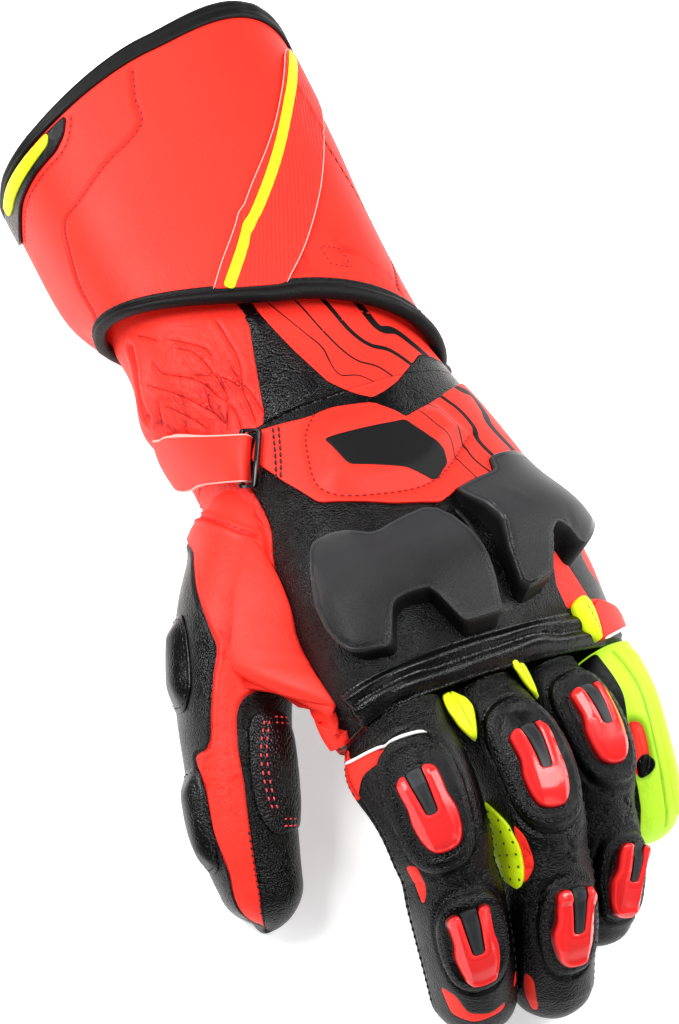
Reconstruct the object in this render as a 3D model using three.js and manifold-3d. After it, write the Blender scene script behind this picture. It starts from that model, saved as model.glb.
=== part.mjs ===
// A left-hand leather motorcycle race glove with a long gauntlet, lying palm down.
// Millimetres, +Z up. X runs from the thumb side to the little-finger side, Y from the
// fingertips to the mouth of the gauntlet. The origin is the bottom centre of the whole glove.

import * as THREE from 'three'
import Module from 'manifold-3d'
import { mergeVertices } from 'three/addons/utils/BufferGeometryUtils.js'

const wasm = await Module()
wasm.setup()

// Leather and padding
const GAUNTLET_WALL = 3
const SLEEVE_WALL = 2.4
const FINGER_WALL = 2.2
const GAP = 0.3
const SEAM_DEGREES = 0.45

// Angles of the seams between the back, the thumb-side strip and the palm, at stations of the hand
const SEAMS = table('station little back palm',
  [-8, -2, 150, 204], [-39, -2, 164, 207], [-55, -2, 178, 212], [-70, -2, 185, 222],
  [-95, -2, 189, 232], [-106, -2, 200, 234])

// Clear height of a panel over the curved leather under it
const LAID = 0.7

// The squareness of the sections: 2 is an ellipse, more is squarer
const BODY_SQUARENESS = 2.5
const FINGER_SQUARENESS = 2.3

// The stations along the glove where one piece ends and the next begins
const MOUTH = 113
const HEM = 26
const SLEEVE_TOP = 62
const WRIST_SEAM = -8
const KNUCKLES = -106
const FINGER_ROOT = KNUCKLES - GAP

// The bound edges of the gauntlet
const BINDING = { leg: 6, skin: 1.2, turn: 1.5 }
const PIPING = { width: 4.6, proud: 1.2, round: 1.2 }

// The gauntlet rests on its binding, so its own underside is that much higher, and the
// sleeve inside it is lifted clear of its wall
const GAUNTLET_FLOOR = BINDING.skin + GAP / 2
const SLEEVE_FLOOR = GAUNTLET_FLOOR + GAUNTLET_WALL + GAP
const FLOOR_RAMP = { start: -16, end: 0 }

// A finger's root is square to the glove, and its tip is a dome
const ROOT_BLEND = 12
const FINGER_TIP = 11
const THUMB_TIP = 12.5
const FINGER_ROLL = 22
const THUMB_ROLL = 5

const COLOURS = {
  red: { color: 0xf5443c, roughness: 0.5 },
  neon: { color: 0xcdf023, roughness: 0.5 },
  black: { color: 0x1b1c1e, roughness: 0.55 },
  binding: { color: 0x121314, roughness: 0.8 },
  armour: { color: 0x2a2b2d, roughness: 0.45 },
  slider: { color: 0xd81c26, roughness: 0.22 },
  insert: { color: 0x3a3c40, roughness: 0.3 },
  hardware: { color: 0x17181a, roughness: 0.3 },
}

function table(columns, ...rows) {
  const names = columns.split(' ')
  return rows.map(row => Object.fromEntries(names.map((name, i) => [name, row[i]])))
}

// Sections of the gauntlet and of the hand, one row a station. thumb_side, little_side,
// rise and drop are the four half sizes, roll turns the section about Y, and lead, crest
// and skew slant the section's plane: along Y by cos, sin and sin of twice the angle.
const BODY = 'station x z thumb_side little_side rise drop roll lead crest skew'
const GAUNTLET = table(BODY,
  [113, 4.5, 36, 52.5, 52.5, 36, 40, 0, 2, 9, 6],
  [90, 3.5, 35.5, 51.5, 51.5, 34.5, 40, 1, -6, 6, 5],
  [60, 2, 34, 50, 50, 32.5, 39, 3, -14, 4, 2],
  [26, 1.5, 33.5, 49, 50.5, 31, 38.5, 5, -24, 3, 0])
const HAND = table(BODY,
  [62, 1, 33.5, 42, 42, 25.5, 28.5, 2, 0, 0, 0],
  [35, 2, 33, 42.5, 42, 25.5, 27.5, 4, 0, 0, 0],
  [14, 3.5, 32, 44, 41.5, 26, 28, 5.5, 0, 0, 0],
  [-8, 5, 31, 45.5, 44, 27, 33, 9.5, 0, 0, 0],
  [-26, 6, 32, 46.5, 47.5, 27, 34, 14.5, 0, 0, 0],
  [-48, 7, 34, 50, 50, 26, 31, 17.5, 0, 0, 0],
  [-75, 7, 35, 54, 52, 25, 26, 20, 0, 0, 0],
  [-92, 6, 35, 56, 52, 22, 22, 21.5, 0, 0, 0],
  [-106, 5.5, 34, 53.5, 51.5, 18, 18, 22, 0, 0, 0])

// Sections of the fingers from root to tip, square to each finger's own centre line
const FINGER = 'x y z half_width rise drop'
const FINGERS = {
  index: table(FINGER,
    [-31, FINGER_ROOT, 48.5, 12.8, 15.5, 15],
    [-34.5, -128, 49.5, 13.6, 15.5, 14.5],
    [-37, -148, 42, 13, 14.5, 14],
    [-38.3, -165, 27, 12.5, 13.5, 13],
    [-39.4, -177, 13, 11.4, 12.5, 12],
    [-40.2, -183, 5, 10.6, 12, 12]),
  middle: table(FINGER,
    [-5.5, FINGER_ROOT, 40, 12.6, 15.5, 14.5],
    [-4, -131, 43.5, 12.8, 15, 14.5],
    [-8.5, -154, 37, 12.6, 14.5, 14],
    [-14, -172, 23, 12.2, 13.5, 13],
    [-17.3, -184, 11, 10.9, 12.5, 12],
    [-18.3, -190, 5, 10, 12, 12]),
  ring: table(FINGER,
    [19, FINGER_ROOT, 30, 12, 15, 14.5],
    [19.8, -128, 32, 11.8, 15, 14],
    [15.5, -147, 27, 11.8, 14, 13.5],
    [9.5, -162, 17.5, 11.5, 13, 12.5],
    [4.8, -172, 9.5, 10.7, 12, 11.5],
    [2.5, -177, 5, 10.5, 12, 11.5]),
  little: table(FINGER,
    [42.5, FINGER_ROOT, 21, 11.5, 14, 13.5],
    [42, -122, 22.5, 11.4, 14, 13.5],
    [38.2, -138, 17.5, 11.3, 13, 12.5],
    [34.5, -149, 11.5, 11, 12, 11.5],
    [31.5, -157.5, 6.5, 10.5, 11, 11]),
}
const THUMB = table(FINGER,
  [-18, -14, 34, 15, 16, 16],
  [-44.5, -45, 33, 19, 18, 18],
  [-60, -68, 27, 17, 17, 17],
  [-68.5, -88, 22, 15.5, 16, 16],
  [-75, -106, 17, 14.5, 14.5, 14.5],
  [-79.5, -121, 12, 13.5, 13.5, 13.5],
  [-82, -133.5, 8.5, 12.5, 13, 13])

// Panels laid on a skin. Each row is one line across the panel, from its first edge to its
// second, given by station and angle: 0 is the little-finger side, 90 the back of the hand,
// 180 the thumb side. base is the height of the underside above the skin and rim that of the
// edge over it, which goes over to to_rim at the second edge. crown is added in the middle.
const EDGES = 'station angle to_station to_angle'
const PANELS = {
  cuff_band: { skin: 'gauntlet', colour: 'red', base: LAID, rim: 1, crown: 0, across: 2,
    rows: table(EDGES,
      [31, 103.5, 31, 91], [47, 95, 41, 78], [62.7, 84, 55, 65],
      [80, 66, 67, 51], [97, 44, 79, 38], [104, 32, 91, 22], [105, 22, 102, 9]) },
  cuff_stripe: { skin: 'gauntlet', colour: 'neon', base: LAID + 1.3, rim: 0.8, crown: 0, across: 1,
    rows: table(EDGES,
      [32, 102.5, 31.6, 98.5], [47.5, 94, 46.6, 90.5], [62.7, 82.6, 61.4, 79.4],
      [80, 64.6, 78.2, 61.8], [95.5, 44.8, 93.2, 42.4]) },
  cuff_tab: { skin: 'gauntlet', colour: 'black', base: LAID, rim: 1.2, crown: 0.3, across: 2,
    rows: table(EDGES,
      [106, 126, 102, 131], [106, 136, 98.5, 141], [106, 152, 97.5, 154],
      [106, 168, 97.5, 168], [106, 184, 98, 184], [106, 198, 101, 195]) },
  cuff_tab_insert: { skin: 'gauntlet', colour: 'neon', base: LAID + 1.9, rim: 0.8, crown: 0, across: 1,
    rows: table(EDGES,
      [105, 138, 101.5, 141], [105, 154, 100.4, 155], [104.8, 170, 100.4, 170],
      [104.4, 184, 101.2, 182]) },
  wrist_panel: { skin: 'hand', colour: 'red', base: LAID, rim: 1.8, crown: 2, across: 5,
    rows: table(EDGES,
      [-11.5, 136, -27, 144.5], [-7.5, 127, -36, 138], [-5.4, 108, -46, 118],
      [-9, 95, -49, 100], [-14, 84, -47, 88], [-19, 70, -40, 75],
      [-25, 56, -39, 60], [-31, 44, -38, 46]) },
  stretch_insert: { skin: 'hand', colour: 'black', base: LAID, rim: 0.9, crown: 0, across: 2,
    rows: table(EDGES,
      [20, 107, 20, 101], [8, 117, 8, 103], [-4, 129, -3, 110]) },
  knuckle_guard_inner: { skin: 'hand', colour: 'armour', base: LAID, rim: 1.8, to_rim: 6, crown: 3.5, across: 5,
    rows: table(EDGES,
      [-64, 164, -80, 163], [-54, 156, -89, 155], [-49.5, 147, -91.5, 148],
      [-48.5, 139, -92, 141], [-48.5, 133, -91.5, 134.5], [-48.8, 130, -79, 130],
      [-50, 114, -79, 114], [-50.5, 111, -91.5, 110], [-51.5, 102, -91, 101],
      [-53, 96, -88, 94.5]) },
  knuckle_guard_outer: { skin: 'hand', colour: 'armour', base: LAID, rim: 2.2, to_rim: 6.5, crown: 4, across: 5,
    rows: table(EDGES,
      [-51.5, 89.5, -90, 87.5], [-44, 80, -90, 80.5], [-42.3, 68, -87, 73],
      [-42.3, 64, -76, 68], [-43.5, 52, -75, 54], [-46, 40, -74, 41],
      [-49, 30, -70, 31], [-54, 22, -64, 23]) },
  thumb_pad_upper: { skin: 'thumb', colour: 'black', base: LAID, rim: 1, crown: 2, across: 3,
    rows: table(EDGES,
      [50.5, 168, 52, 200], [56, 158, 58, 202], [63, 152, 64, 203], [71, 150, 71, 200],
      [77, 158, 77, 190]) },
  thumb_pad_lower: { skin: 'thumb', colour: 'black', base: LAID, rim: 1, crown: 2, across: 3,
    rows: table(EDGES,
      [93, 160, 93, 190], [99, 152, 99, 198], [106, 151, 106, 200], [114, 151, 114, 198],
      [121, 156, 121, 186]) },
  thumb_grip: { skin: 'thumb', colour: 'black', base: LAID, rim: 1.2, crown: 0.6, across: 3,
    rows: table(EDGES,
      [79.5, 90, 79, 50], [88, 95, 87, 32], [96.5, 96, 96, 24], [105, 95, 105, 22],
      [112, 88, 112.5, 36]) },
  middle_side_gusset: { skin: 'middle', colour: 'neon', base: LAID, rim: 1, crown: 0.4, across: 2,
    rows: table(EDGES,
      [33, 168, 33, 176], [40, 158, 40, 186], [48, 155, 48, 188], [56, 160, 56, 184],
      [62, 168, 62, 174]) },
  little_finger_pad: { skin: 'little', colour: 'neon', base: LAID, rim: 1, crown: 1.4, across: 3,
    rows: table(EDGES,
      [3, 80, 3, 12], [10, 84, 10, 4], [18, 76, 18, 12], [26, 84, 26, 4],
      [34, 76, 34, 12], [42, 80, 42, 8], [48, 66, 48, 22]) },
}

// The ribbed stretch leather across the back of the hand above the fingers
const PLEATS = { ribs: 3, rib: 1.3, skin: 1.1, from: -95.5, to: -105.4, angles: [34, 176], steps: 9 }

// A hard finger slider, seen along the finger: each row is a line at a place across it,
// from the finger's root side to its tip side. Two rows close together make a wall of the slot.
const SLIDER = { base: 0.8, rim: 1.6, crown: 2.6, steps: 4 }
const SLIDER_OUTLINE = table('across from to',
  [-6.6, -7, 4], [-5.2, -10.4, 8.6], [-2.45, -11, 11.4],
  [-2.4, 3, 11.4], [0, 3, 11.8], [2.4, 3, 11.4],
  [2.45, -11, 11.4], [5.2, -10.4, 8.6], [6.6, -7, 4])
const INSERT_OUTLINE = table('across from to', [-2.05, -11, 2.6], [0, -11.4, 2.6], [2.05, -11, 2.6])
const INSERT = { rim: 2, crown: 1, steps: 3 }
const SLIDERS = table('name finger reach angle',
  ['index_slider_root', 'index', 28, 136],
  ['index_slider_tip', 'index', 64, 116],
  ['middle_slider_root', 'middle', 29, 105],
  ['middle_slider_tip', 'middle', 70, 94],
  ['ring_slider_root', 'ring', 23, 92],
  ['ring_slider_tip', 'ring', 60, 84])

// The wrist strap comes up under the bar of its loop, folds over it and lies back on itself.
// Each row of its fold is a point of its outer face, angle by height, and one of its inner face.
const STRAP_FOLD = table('angle height in_angle in_height',
  [236, 0.3, 236, 1.6], [222, 0.3, 222, 1.6], [208, 0.3, 208, 1.6], [194, 0.3, 194, 1.6],
  [180, 0.3, 180, 1.6], [166, 0.3, 166, 1.6], [156, 0.3, 156, 1.6], [149, 0.3, 150, 1.6],
  [147.6, 1.4, 149.4, 2.1], [147.6, 4.2, 149.4, 3.4], [149, 5.5, 150, 4], [154, 5.6, 154, 4.1],
  [160, 4.2, 160, 2.8], [168, 3.3, 168, 1.9], [180, 3.3, 180, 1.9], [192, 3.4, 192, 2],
  [204, 4, 204, 2.6])
// Stations of its two edges at 147 degrees, their climb in a degree, and the slant of its ends
const STRAP = { at: 147, lift: 0.6, upper: -9, lower: -26, upperClimb: 0.45, lowerClimb: 0.5, slant: 4 }
const LOOP = { outer: [144.2, 153.4], inner: [146.2, 151.2], bar: 0.1, clear: 0.025,
  base: 2.55, height: 1.6 }

// How finely each tube is divided along and around
const STEPS = {
  gauntlet: { along: 6, around: 32 },
  sleeve: { along: 5, around: 30 },
  hand: { along: 9, around: 36, back: 14, side: 5, palm: 13 },
  finger: { shaft: 7, dome: 4, around: 14 },
  thumb: { shaft: 10, dome: 4, around: 16 },
  cutter: { hand: 20, thumb: 9 },
  rib: 3,
}

// Webs between the roots of neighbouring fingers
const WEB = { under: 40, steps: 6, around: 24, sections: table('y half_width rise drop',
  [-106.7, 9, 13, 12], [-112, 9, 12.5, 11], [-118, 8, 9.5, 9], [-122, 6, 5, 6]), clear: 0.35 }

const TURN = 360
const THUMB_IN_HAND = 70

// Points closer than this are one point when a body is cut
const WELD = 1e-4

// How quickly a crowned panel rises from its rim: below 1 is flatter in the middle
const HUMP = 0.6

// How far a cutter stands out of what it cuts, above and below it
const CUTTER = { under: 1, over: 1 }
const radians = THREE.MathUtils.degToRad

function spline(before, from, to, after, part) {
  const slope = to - before
  const bend = 2 * before - 5 * from + 4 * to - after
  const twist = 3 * from - before - 3 * to + after
  return 0.5 * (2 * from + slope * part + bend * part ** 2 + twist * part ** 3)
}

// The row at any place between the rows of a table, on a smooth curve through them
function rowAt(rows, key, place) {
  const sign = Math.sign(rows[1][key] - rows[0][key])
  let i = 0
  while (i < rows.length - 2 && sign * place >= sign * rows[i + 1][key]) i++
  const from = rows[i]
  const to = rows[i + 1]
  const part = (place - from[key]) / (to[key] - from[key])
  const before = rows[i - 1]
  const after = rows[i + 2]
  const row = {}
  for (const name of Object.keys(from)) {
    const start = before ? before[name] : 2 * from[name] - to[name]
    const end = after ? after[name] : 2 * to[name] - from[name]
    row[name] = spline(start, from[name], to[name], end, part)
  }
  row[key] = place
  return row
}

function roundedPoint(degrees, squareness) {
  const cos = Math.cos(radians(degrees))
  const sin = Math.sin(radians(degrees))
  return [Math.sign(cos) * Math.abs(cos) ** (2 / squareness),
    Math.sign(sin) * Math.abs(sin) ** (2 / squareness)]
}

// A tube along Y: the gauntlet or the hand. point() gives the surface, lifted off it or sunk in.
class BodySkin {
  constructor(rows, floorAt) {
    this.rows = rows
    this.floorAt = floorAt
  }

  point(station, degrees, lift = 0) {
    const row = rowAt(this.rows, 'station', station)
    const [cos, sin] = roundedPoint(degrees, BODY_SQUARENESS)
    const turn = radians(degrees)
    const roll = radians(row.roll)
    const across = cos * ((cos < 0 ? row.thumb_side : row.little_side) + lift)
    const above = sin * ((sin > 0 ? row.rise : row.drop) + lift)
    const slant = row.lead * Math.cos(turn) + row.crest * Math.sin(turn) + row.skew * Math.sin(2 * turn)
    const y = station + slant
    const z = row.z - across * Math.sin(roll) + above * Math.cos(roll)
    const x = row.x + across * Math.cos(roll) + above * Math.sin(roll)
    return new THREE.Vector3(x, y, Math.max(z, this.floorAt(y) - lift))
  }
}

// A finger: a tube along its own centre line, flattened where it rests, closed by a dome
class FingerSkin {
  constructor(rows, roll, tip, blend) {
    let reach = 0
    this.rows = rows.map((row, i) => {
      if (i) reach += Math.hypot(row.x - rows[i - 1].x, row.y - rows[i - 1].y, row.z - rows[i - 1].z)
      return { reach, ...row }
    })
    this.length = reach
    this.roll = radians(roll)
    this.tip = tip
    this.blend = blend
  }

  centre(reach) {
    const row = rowAt(this.rows, 'reach', reach)
    return new THREE.Vector3(row.x, row.y, row.z)
  }

  direction(reach) {
    const along = this.centre(reach + 0.5).sub(this.centre(reach - 0.5)).normalize()
    if (!this.blend) return along
    const part = THREE.MathUtils.clamp(reach / this.blend, 0, 1)
    return new THREE.Vector3(0, -1, 0).lerp(along, part).normalize()
  }

  point(reach, degrees, lift = 0) {
    const row = rowAt(this.rows, 'reach', reach)
    const along = this.direction(reach)
    const side = new THREE.Vector3(Math.cos(this.roll), 0, -Math.sin(this.roll))
    side.addScaledVector(along, -side.dot(along)).normalize()
    const up = new THREE.Vector3().crossVectors(along, side)
    const radius = this.tip + lift
    const over = Math.max(0, reach - (this.length + lift - radius)) / radius
    const close = Math.sqrt(Math.max(0, 1 - over * over))
    const [cos, sin] = roundedPoint(degrees, FINGER_SQUARENESS)
    const point = this.centre(reach)
    point.addScaledVector(side, cos * (row.half_width + lift) * close)
    point.addScaledVector(up, sin * ((sin > 0 ? row.rise : row.drop) + lift) * close)
    point.z = Math.max(point.z, -lift)
    return point
  }
}

function sleeveFloor(y) {
  const part = THREE.MathUtils.clamp((y - FLOOR_RAMP.start) / (FLOOR_RAMP.end - FLOOR_RAMP.start), 0, 1)
  return SLEEVE_FLOOR * part * part * (3 - 2 * part)
}

const SKINS = {
  gauntlet: new BodySkin(GAUNTLET, () => GAUNTLET_FLOOR),
  hand: new BodySkin(HAND, sleeveFloor),
  thumb: new FingerSkin(THUMB, THUMB_ROLL, THUMB_TIP, 0),
}
for (const [name, rows] of Object.entries(FINGERS)) {
  SKINS[name] = new FingerSkin(rows, FINGER_ROLL, FINGER_TIP, ROOT_BLEND)
}

function range(from, to, steps) {
  return Array.from({ length: steps + 1 }, (_, i) => from + (to - from) * i / steps)
}

function signedVolume(points, faces) {
  const cross = new THREE.Vector3()
  return faces.reduce((sum, [a, b, c]) => sum + points[a].dot(cross.crossVectors(points[b], points[c])) / 6, 0)
}

// One closed body from points and triangles, its faces turned outwards
function solid(points, faces) {
  const inward = signedVolume(points, faces) < 0
  const index = faces.flatMap(([a, b, c]) => inward ? [a, c, b] : [a, b, c])
  const geometry = new THREE.BufferGeometry()
  geometry.setAttribute('position', new THREE.Float32BufferAttribute(points.flatMap(p => p.toArray()), 3))
  geometry.setIndex(index)
  return geometry
}

// Collects the points and faces of a body built from grids
class Builder {
  constructor() {
    this.points = []
    this.faces = []
  }

  add(point) {
    this.points.push(point)
    return this.points.length - 1
  }

  row(points) {
    return points.map(point => this.add(point))
  }

  quad(a, b, c, d) {
    this.faces.push([a, b, c], [a, c, d])
  }

  strip(first, second, closed) {
    const last = closed ? first.length : first.length - 1
    for (let i = 0; i < last; i++) {
      const next = (i + 1) % first.length
      this.quad(first[i], first[next], second[next], second[i])
    }
  }

  strips(rows, closed) {
    for (let i = 0; i < rows.length - 1; i++) this.strip(rows[i], rows[i + 1], closed)
  }

  fan(row, centre, turned) {
    row.forEach((a, i) => {
      const b = row[(i + 1) % row.length]
      this.faces.push(turned ? [b, a, centre] : [a, b, centre])
    })
  }

  solid() {
    return solid(this.points, this.faces)
  }
}

function ring(skin, station, angles, lift) {
  return angles.map(angle => skin.point(station, angle, lift))
}

const around = count => range(0, TURN, count).slice(0, count)

// A wall that follows a skin between two stations, all the way round it
function tube(skin, stations, count, wall) {
  const body = new Builder()
  const angles = around(count)
  const outer = stations.map(station => body.row(ring(skin, station, angles, 0)))
  const inner = stations.map(station => body.row(ring(skin, station, angles, -wall)))
  body.strips(outer, true)
  body.strips(inner.toReversed(), true)
  body.strip(inner[0], outer[0], true)
  body.strip(outer.at(-1), inner.at(-1), true)
  return body.solid()
}

// A wall that follows a skin over part of its turn
function sector(skin, stations, anglesAt, wall) {
  const body = new Builder()
  const outer = stations.map(station => body.row(ring(skin, station, anglesAt(station), 0)))
  const inner = stations.map(station => body.row(ring(skin, station, anglesAt(station), -wall)))
  body.strips(outer, false)
  body.strips(inner.toReversed(), false)
  body.strip(inner[0], outer[0], false)
  body.strip(outer.at(-1), inner.at(-1), false)
  for (const edge of [0, outer[0].length - 1]) {
    const outside = outer.map(row => row[edge])
    const inside = inner.map(row => row[edge])
    if (edge) body.strip(inside, outside, false)
    else body.strip(outside, inside, false)
  }
  return body.solid()
}

// A full body inside a skin, used to cut another
function plug(skin, stations, count, lift) {
  const body = new Builder()
  const rings = stations.map(station => body.row(ring(skin, station, around(count), lift)))
  body.strips(rings, true)
  for (const [row, turned] of [[rings[0], true], [rings.at(-1), false]]) {
    const centre = new THREE.Vector3()
    row.forEach(i => centre.addScaledVector(body.points[i], 1 / row.length))
    body.fan(row, body.add(centre), turned)
  }
  return body.solid()
}

// Stations of a finger: even along its length, closer together over the dome
function fingerStations(skin, steps, domeSteps, lift) {
  const end = skin.length + lift
  const radius = skin.tip + lift
  const shaft = range(0, end - radius, steps)
  const dome = range(0, 90, domeSteps).slice(1, -1).map(turn => end - radius + radius * Math.sin(radians(turn)))
  return [...shaft, ...dome]
}

// A hollow finger, open at its root
function fingerTube(skin, wall, steps) {
  const body = new Builder()
  const angles = around(steps.around)
  const wallRows = lift => {
    const rows = fingerStations(skin, steps.shaft, steps.dome, lift)
      .map(reach => body.row(ring(skin, reach, angles, lift)))
    return { rows, pole: body.add(skin.point(skin.length + lift, 90, lift)) }
  }
  const outer = wallRows(0)
  const inner = wallRows(-wall)
  body.strips(outer.rows, true)
  body.fan(outer.rows.at(-1), outer.pole, false)
  body.strips(inner.rows.toReversed(), true)
  body.fan(inner.rows.at(-1), inner.pole, true)
  body.strip(inner.rows[0], outer.rows[0], true)
  return body.solid()
}

// A closed profile of station and lift, carried round a skin
function edging(skin, profile, count) {
  const body = new Builder()
  const rows = around(count).map(angle =>
    body.row(profile.map(({ station, lift }) => skin.point(station, angle, lift))))
  body.strips([...rows, rows[0]], true)
  return body.solid()
}

const smoothHump = part => Math.sin(Math.PI * part) ** HUMP

// A panel with a crowned top. lines are its rows, each [station, angle] to [station, angle].
function panel(skin, lines, across, base, heightAt) {
  const body = new Builder()
  const parts = range(0, 1, across)
  const surface = heights => lines.map((line, i) => body.row(parts.map(part => {
    const station = THREE.MathUtils.lerp(line.station, line.to_station, part)
    const angle = THREE.MathUtils.lerp(line.angle, line.to_angle, part)
    return skin.point(station, angle, heights(i / (lines.length - 1), part))
  })))
  const top = surface(heightAt)
  const bottom = surface(() => base)
  body.strips(top, false)
  body.strips(bottom.toReversed(), false)
  body.strip(bottom[0], top[0], false)
  body.strip(top.at(-1), bottom.at(-1), false)
  body.strip(top.map(row => row[0]), bottom.map(row => row[0]), false)
  body.strip(bottom.map(row => row.at(-1)), top.map(row => row.at(-1)), false)
  return body.solid()
}

function crownedPanel({ skin, rows, across, base, rim, to_rim = rim, crown }) {
  const height = (along, part) =>
    base + THREE.MathUtils.lerp(rim, to_rim, part) + crown * smoothHump(along) * smoothHump(part)
  return panel(SKINS[skin], rows, across, base, height)
}

function pleats() {
  const { ribs, rib, skin, from, to, angles, steps } = PLEATS
  const lines = range(angles[0], angles[1], steps)
    .map(angle => ({ station: from, angle, to_station: to, to_angle: angle }))
  const height = (along, part) => LAID + skin + rib * Math.abs(Math.sin(ribs * Math.PI * part))
  return panel(SKINS.hand, lines, ribs * STEPS.rib, LAID, height)
}

// Lines of a small hard piece on a finger, its across sizes turned into angles
function fingerLines(outline, skin, { reach, angle }) {
  const degreesPerMm = TURN / (2 * Math.PI * rowAt(skin.rows, 'reach', reach).half_width)
  return outline.map(row => {
    const turn = angle - row.across * degreesPerMm
    return { station: reach + row.from, angle: turn, to_station: reach + row.to, to_angle: turn }
  })
}

function slider(place) {
  const skin = SKINS[place.finger]
  const { base, rim, crown, steps } = SLIDER
  return panel(skin, fingerLines(SLIDER_OUTLINE, skin, place), steps, base,
    (along, part) => base + rim + crown * smoothHump(along) * smoothHump(part))
}

function sliderInsert(place) {
  const skin = SKINS[place.finger]
  return panel(skin, fingerLines(INSERT_OUTLINE, skin, place), INSERT.steps, SLIDER.base,
    (along, part) => SLIDER.base + INSERT.rim + INSERT.crown * smoothHump(along) * smoothHump(part))
}

// A point of the strap: across runs from 0 at its upper edge to 1 at its lower one
function strapPoint(angle, across, height) {
  const upper = STRAP.upper + STRAP.upperClimb * (angle - STRAP.at)
  const lower = STRAP.lower + STRAP.lowerClimb * (angle - STRAP.at)
  const turned = angle + STRAP.slant * (2 * across - 1)
  return { station: THREE.MathUtils.lerp(upper, lower, across), angle: turned, height: height + STRAP.lift }
}

function wristStrap() {
  const body = new Builder()
  const face = (angle, height) => [0, 0.5, 1].map(across => {
    const place = strapPoint(angle, across, height)
    return SKINS.hand.point(place.station, place.angle, place.height)
  })
  const rows = STRAP_FOLD.map(fold => body.row([
    ...face(fold.angle, fold.height), ...face(fold.in_angle, fold.in_height).toReversed()]))
  body.strips(rows, true)
  for (const row of [rows[0].toReversed(), rows.at(-1)]) {
    body.quad(row[0], row[1], row[4], row[5])
    body.quad(row[1], row[2], row[3], row[4])
  }
  return body.solid()
}

// A flat plate of the loop, in the strap's own directions
function loopPlate(angles, overlap, base, height) {
  const lines = range(angles[0], angles[1], 2).map(angle => {
    const from = strapPoint(angle, -overlap, 0)
    const to = strapPoint(angle, 1 + overlap, 0)
    return { station: from.station, angle: from.angle, to_station: to.station, to_angle: to.angle }
  })
  return panel(SKINS.hand, lines, 2, base, () => base + height)
}

function toManifold(geometry) {
  const merged = mergeVertices(geometry, WELD)
  return new wasm.Manifold(new wasm.Mesh({ numProp: 3,
    vertProperties: new Float32Array(merged.attributes.position.array),
    triVerts: new Uint32Array(merged.index.array) }))
}

// The largest body of a cut result, so that no sliver stays beside it
function fromManifold(result) {
  const parts = result.decompose().toSorted((a, b) => b.volume() - a.volume())
  const mesh = parts[0].getMesh()
  const geometry = new THREE.BufferGeometry()
  geometry.setAttribute('position', new THREE.Float32BufferAttribute(mesh.vertProperties, mesh.numProp))
  geometry.setIndex([...mesh.triVerts])
  return geometry
}

function cut(geometry, ...cutters) {
  const body = cutters.reduce((left, cutter) => left.subtract(cutter), toManifold(geometry))
  return fromManifold(body)
}

const thumbHollow = toManifold(
  plug(SKINS.thumb, range(0, THUMB_IN_HAND, STEPS.cutter.thumb), STEPS.thumb.around, -SLEEVE_WALL))
const handInside = toManifold(
  plug(SKINS.hand, range(SLEEVE_TOP, KNUCKLES, STEPS.cutter.hand), STEPS.hand.around, GAP))

// A web between two fingers: a slab between their centre lines, cut by both fingers
function web(near, far) {
  const body = new Builder()
  const rings = WEB.sections.map(({ y, half_width, rise, drop }) => {
    const reach = FINGER_ROOT - y
    const middle = SKINS[near].centre(reach).add(SKINS[far].centre(reach)).multiplyScalar(0.5)
    const roll = radians(FINGER_ROLL)
    return body.row([[-1, -1], [1, -1], [1, 1], [-1, 1]].map(([side, up]) => {
      const across = side * half_width
      const above = up > 0 ? rise : -drop
      return new THREE.Vector3(
        middle.x + across * Math.cos(roll) + above * Math.sin(roll), y,
        middle.z - across * Math.sin(roll) + above * Math.cos(roll))
    }))
  })
  body.strips(rings, true)
  body.quad(...rings[0].toReversed())
  body.quad(...rings.at(-1))
  const fingerBody = name => toManifold(plug(SKINS[name], range(0, WEB.under, WEB.steps), WEB.around, WEB.clear))
  return cut(body.solid(), fingerBody(near), fingerBody(far))
}

function bindingProfile() {
  const { leg, skin, turn } = BINDING
  const outside = GAP * 0.5
  const inside = -GAUNTLET_WALL - GAP
  return table('station lift',
    [MOUTH - leg, outside], [MOUTH - leg, outside + skin], [MOUTH + turn, outside + skin],
    [MOUTH + turn, inside - skin], [MOUTH - leg, inside - skin], [MOUTH - leg, inside],
    [MOUTH + GAP, inside], [MOUTH + GAP, outside])
}

function pipingProfile() {
  const { width, proud, round } = PIPING
  const top = HEM - GAP
  const end = top - width
  const inside = -GAUNTLET_WALL
  return table('station lift',
    [top, inside], [top, proud - round / 3], [top - round, proud], [end + round, proud],
    [end, proud - round], [end, inside + round], [end + round, inside])
}

const glove = new THREE.Group()
glove.name = 'glove'

function addPiece(name, geometry, colour) {
  geometry.deleteAttribute('uv')
  geometry.computeVertexNormals()
  const material = new THREE.MeshStandardMaterial({ ...COLOURS[colour], metalness: 0 })
  const mesh = new THREE.Mesh(geometry, material)
  mesh.name = name
  glove.add(mesh)
}

function addGauntlet() {
  const { along, around: count } = STEPS.gauntlet
  addPiece('gauntlet', tube(SKINS.gauntlet, range(MOUTH, HEM, along), count, GAUNTLET_WALL), 'red')
  addPiece('mouth_binding', edging(SKINS.gauntlet, bindingProfile(), count), 'binding')
  addPiece('hem_piping', edging(SKINS.gauntlet, pipingProfile(), count), 'binding')
}

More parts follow.
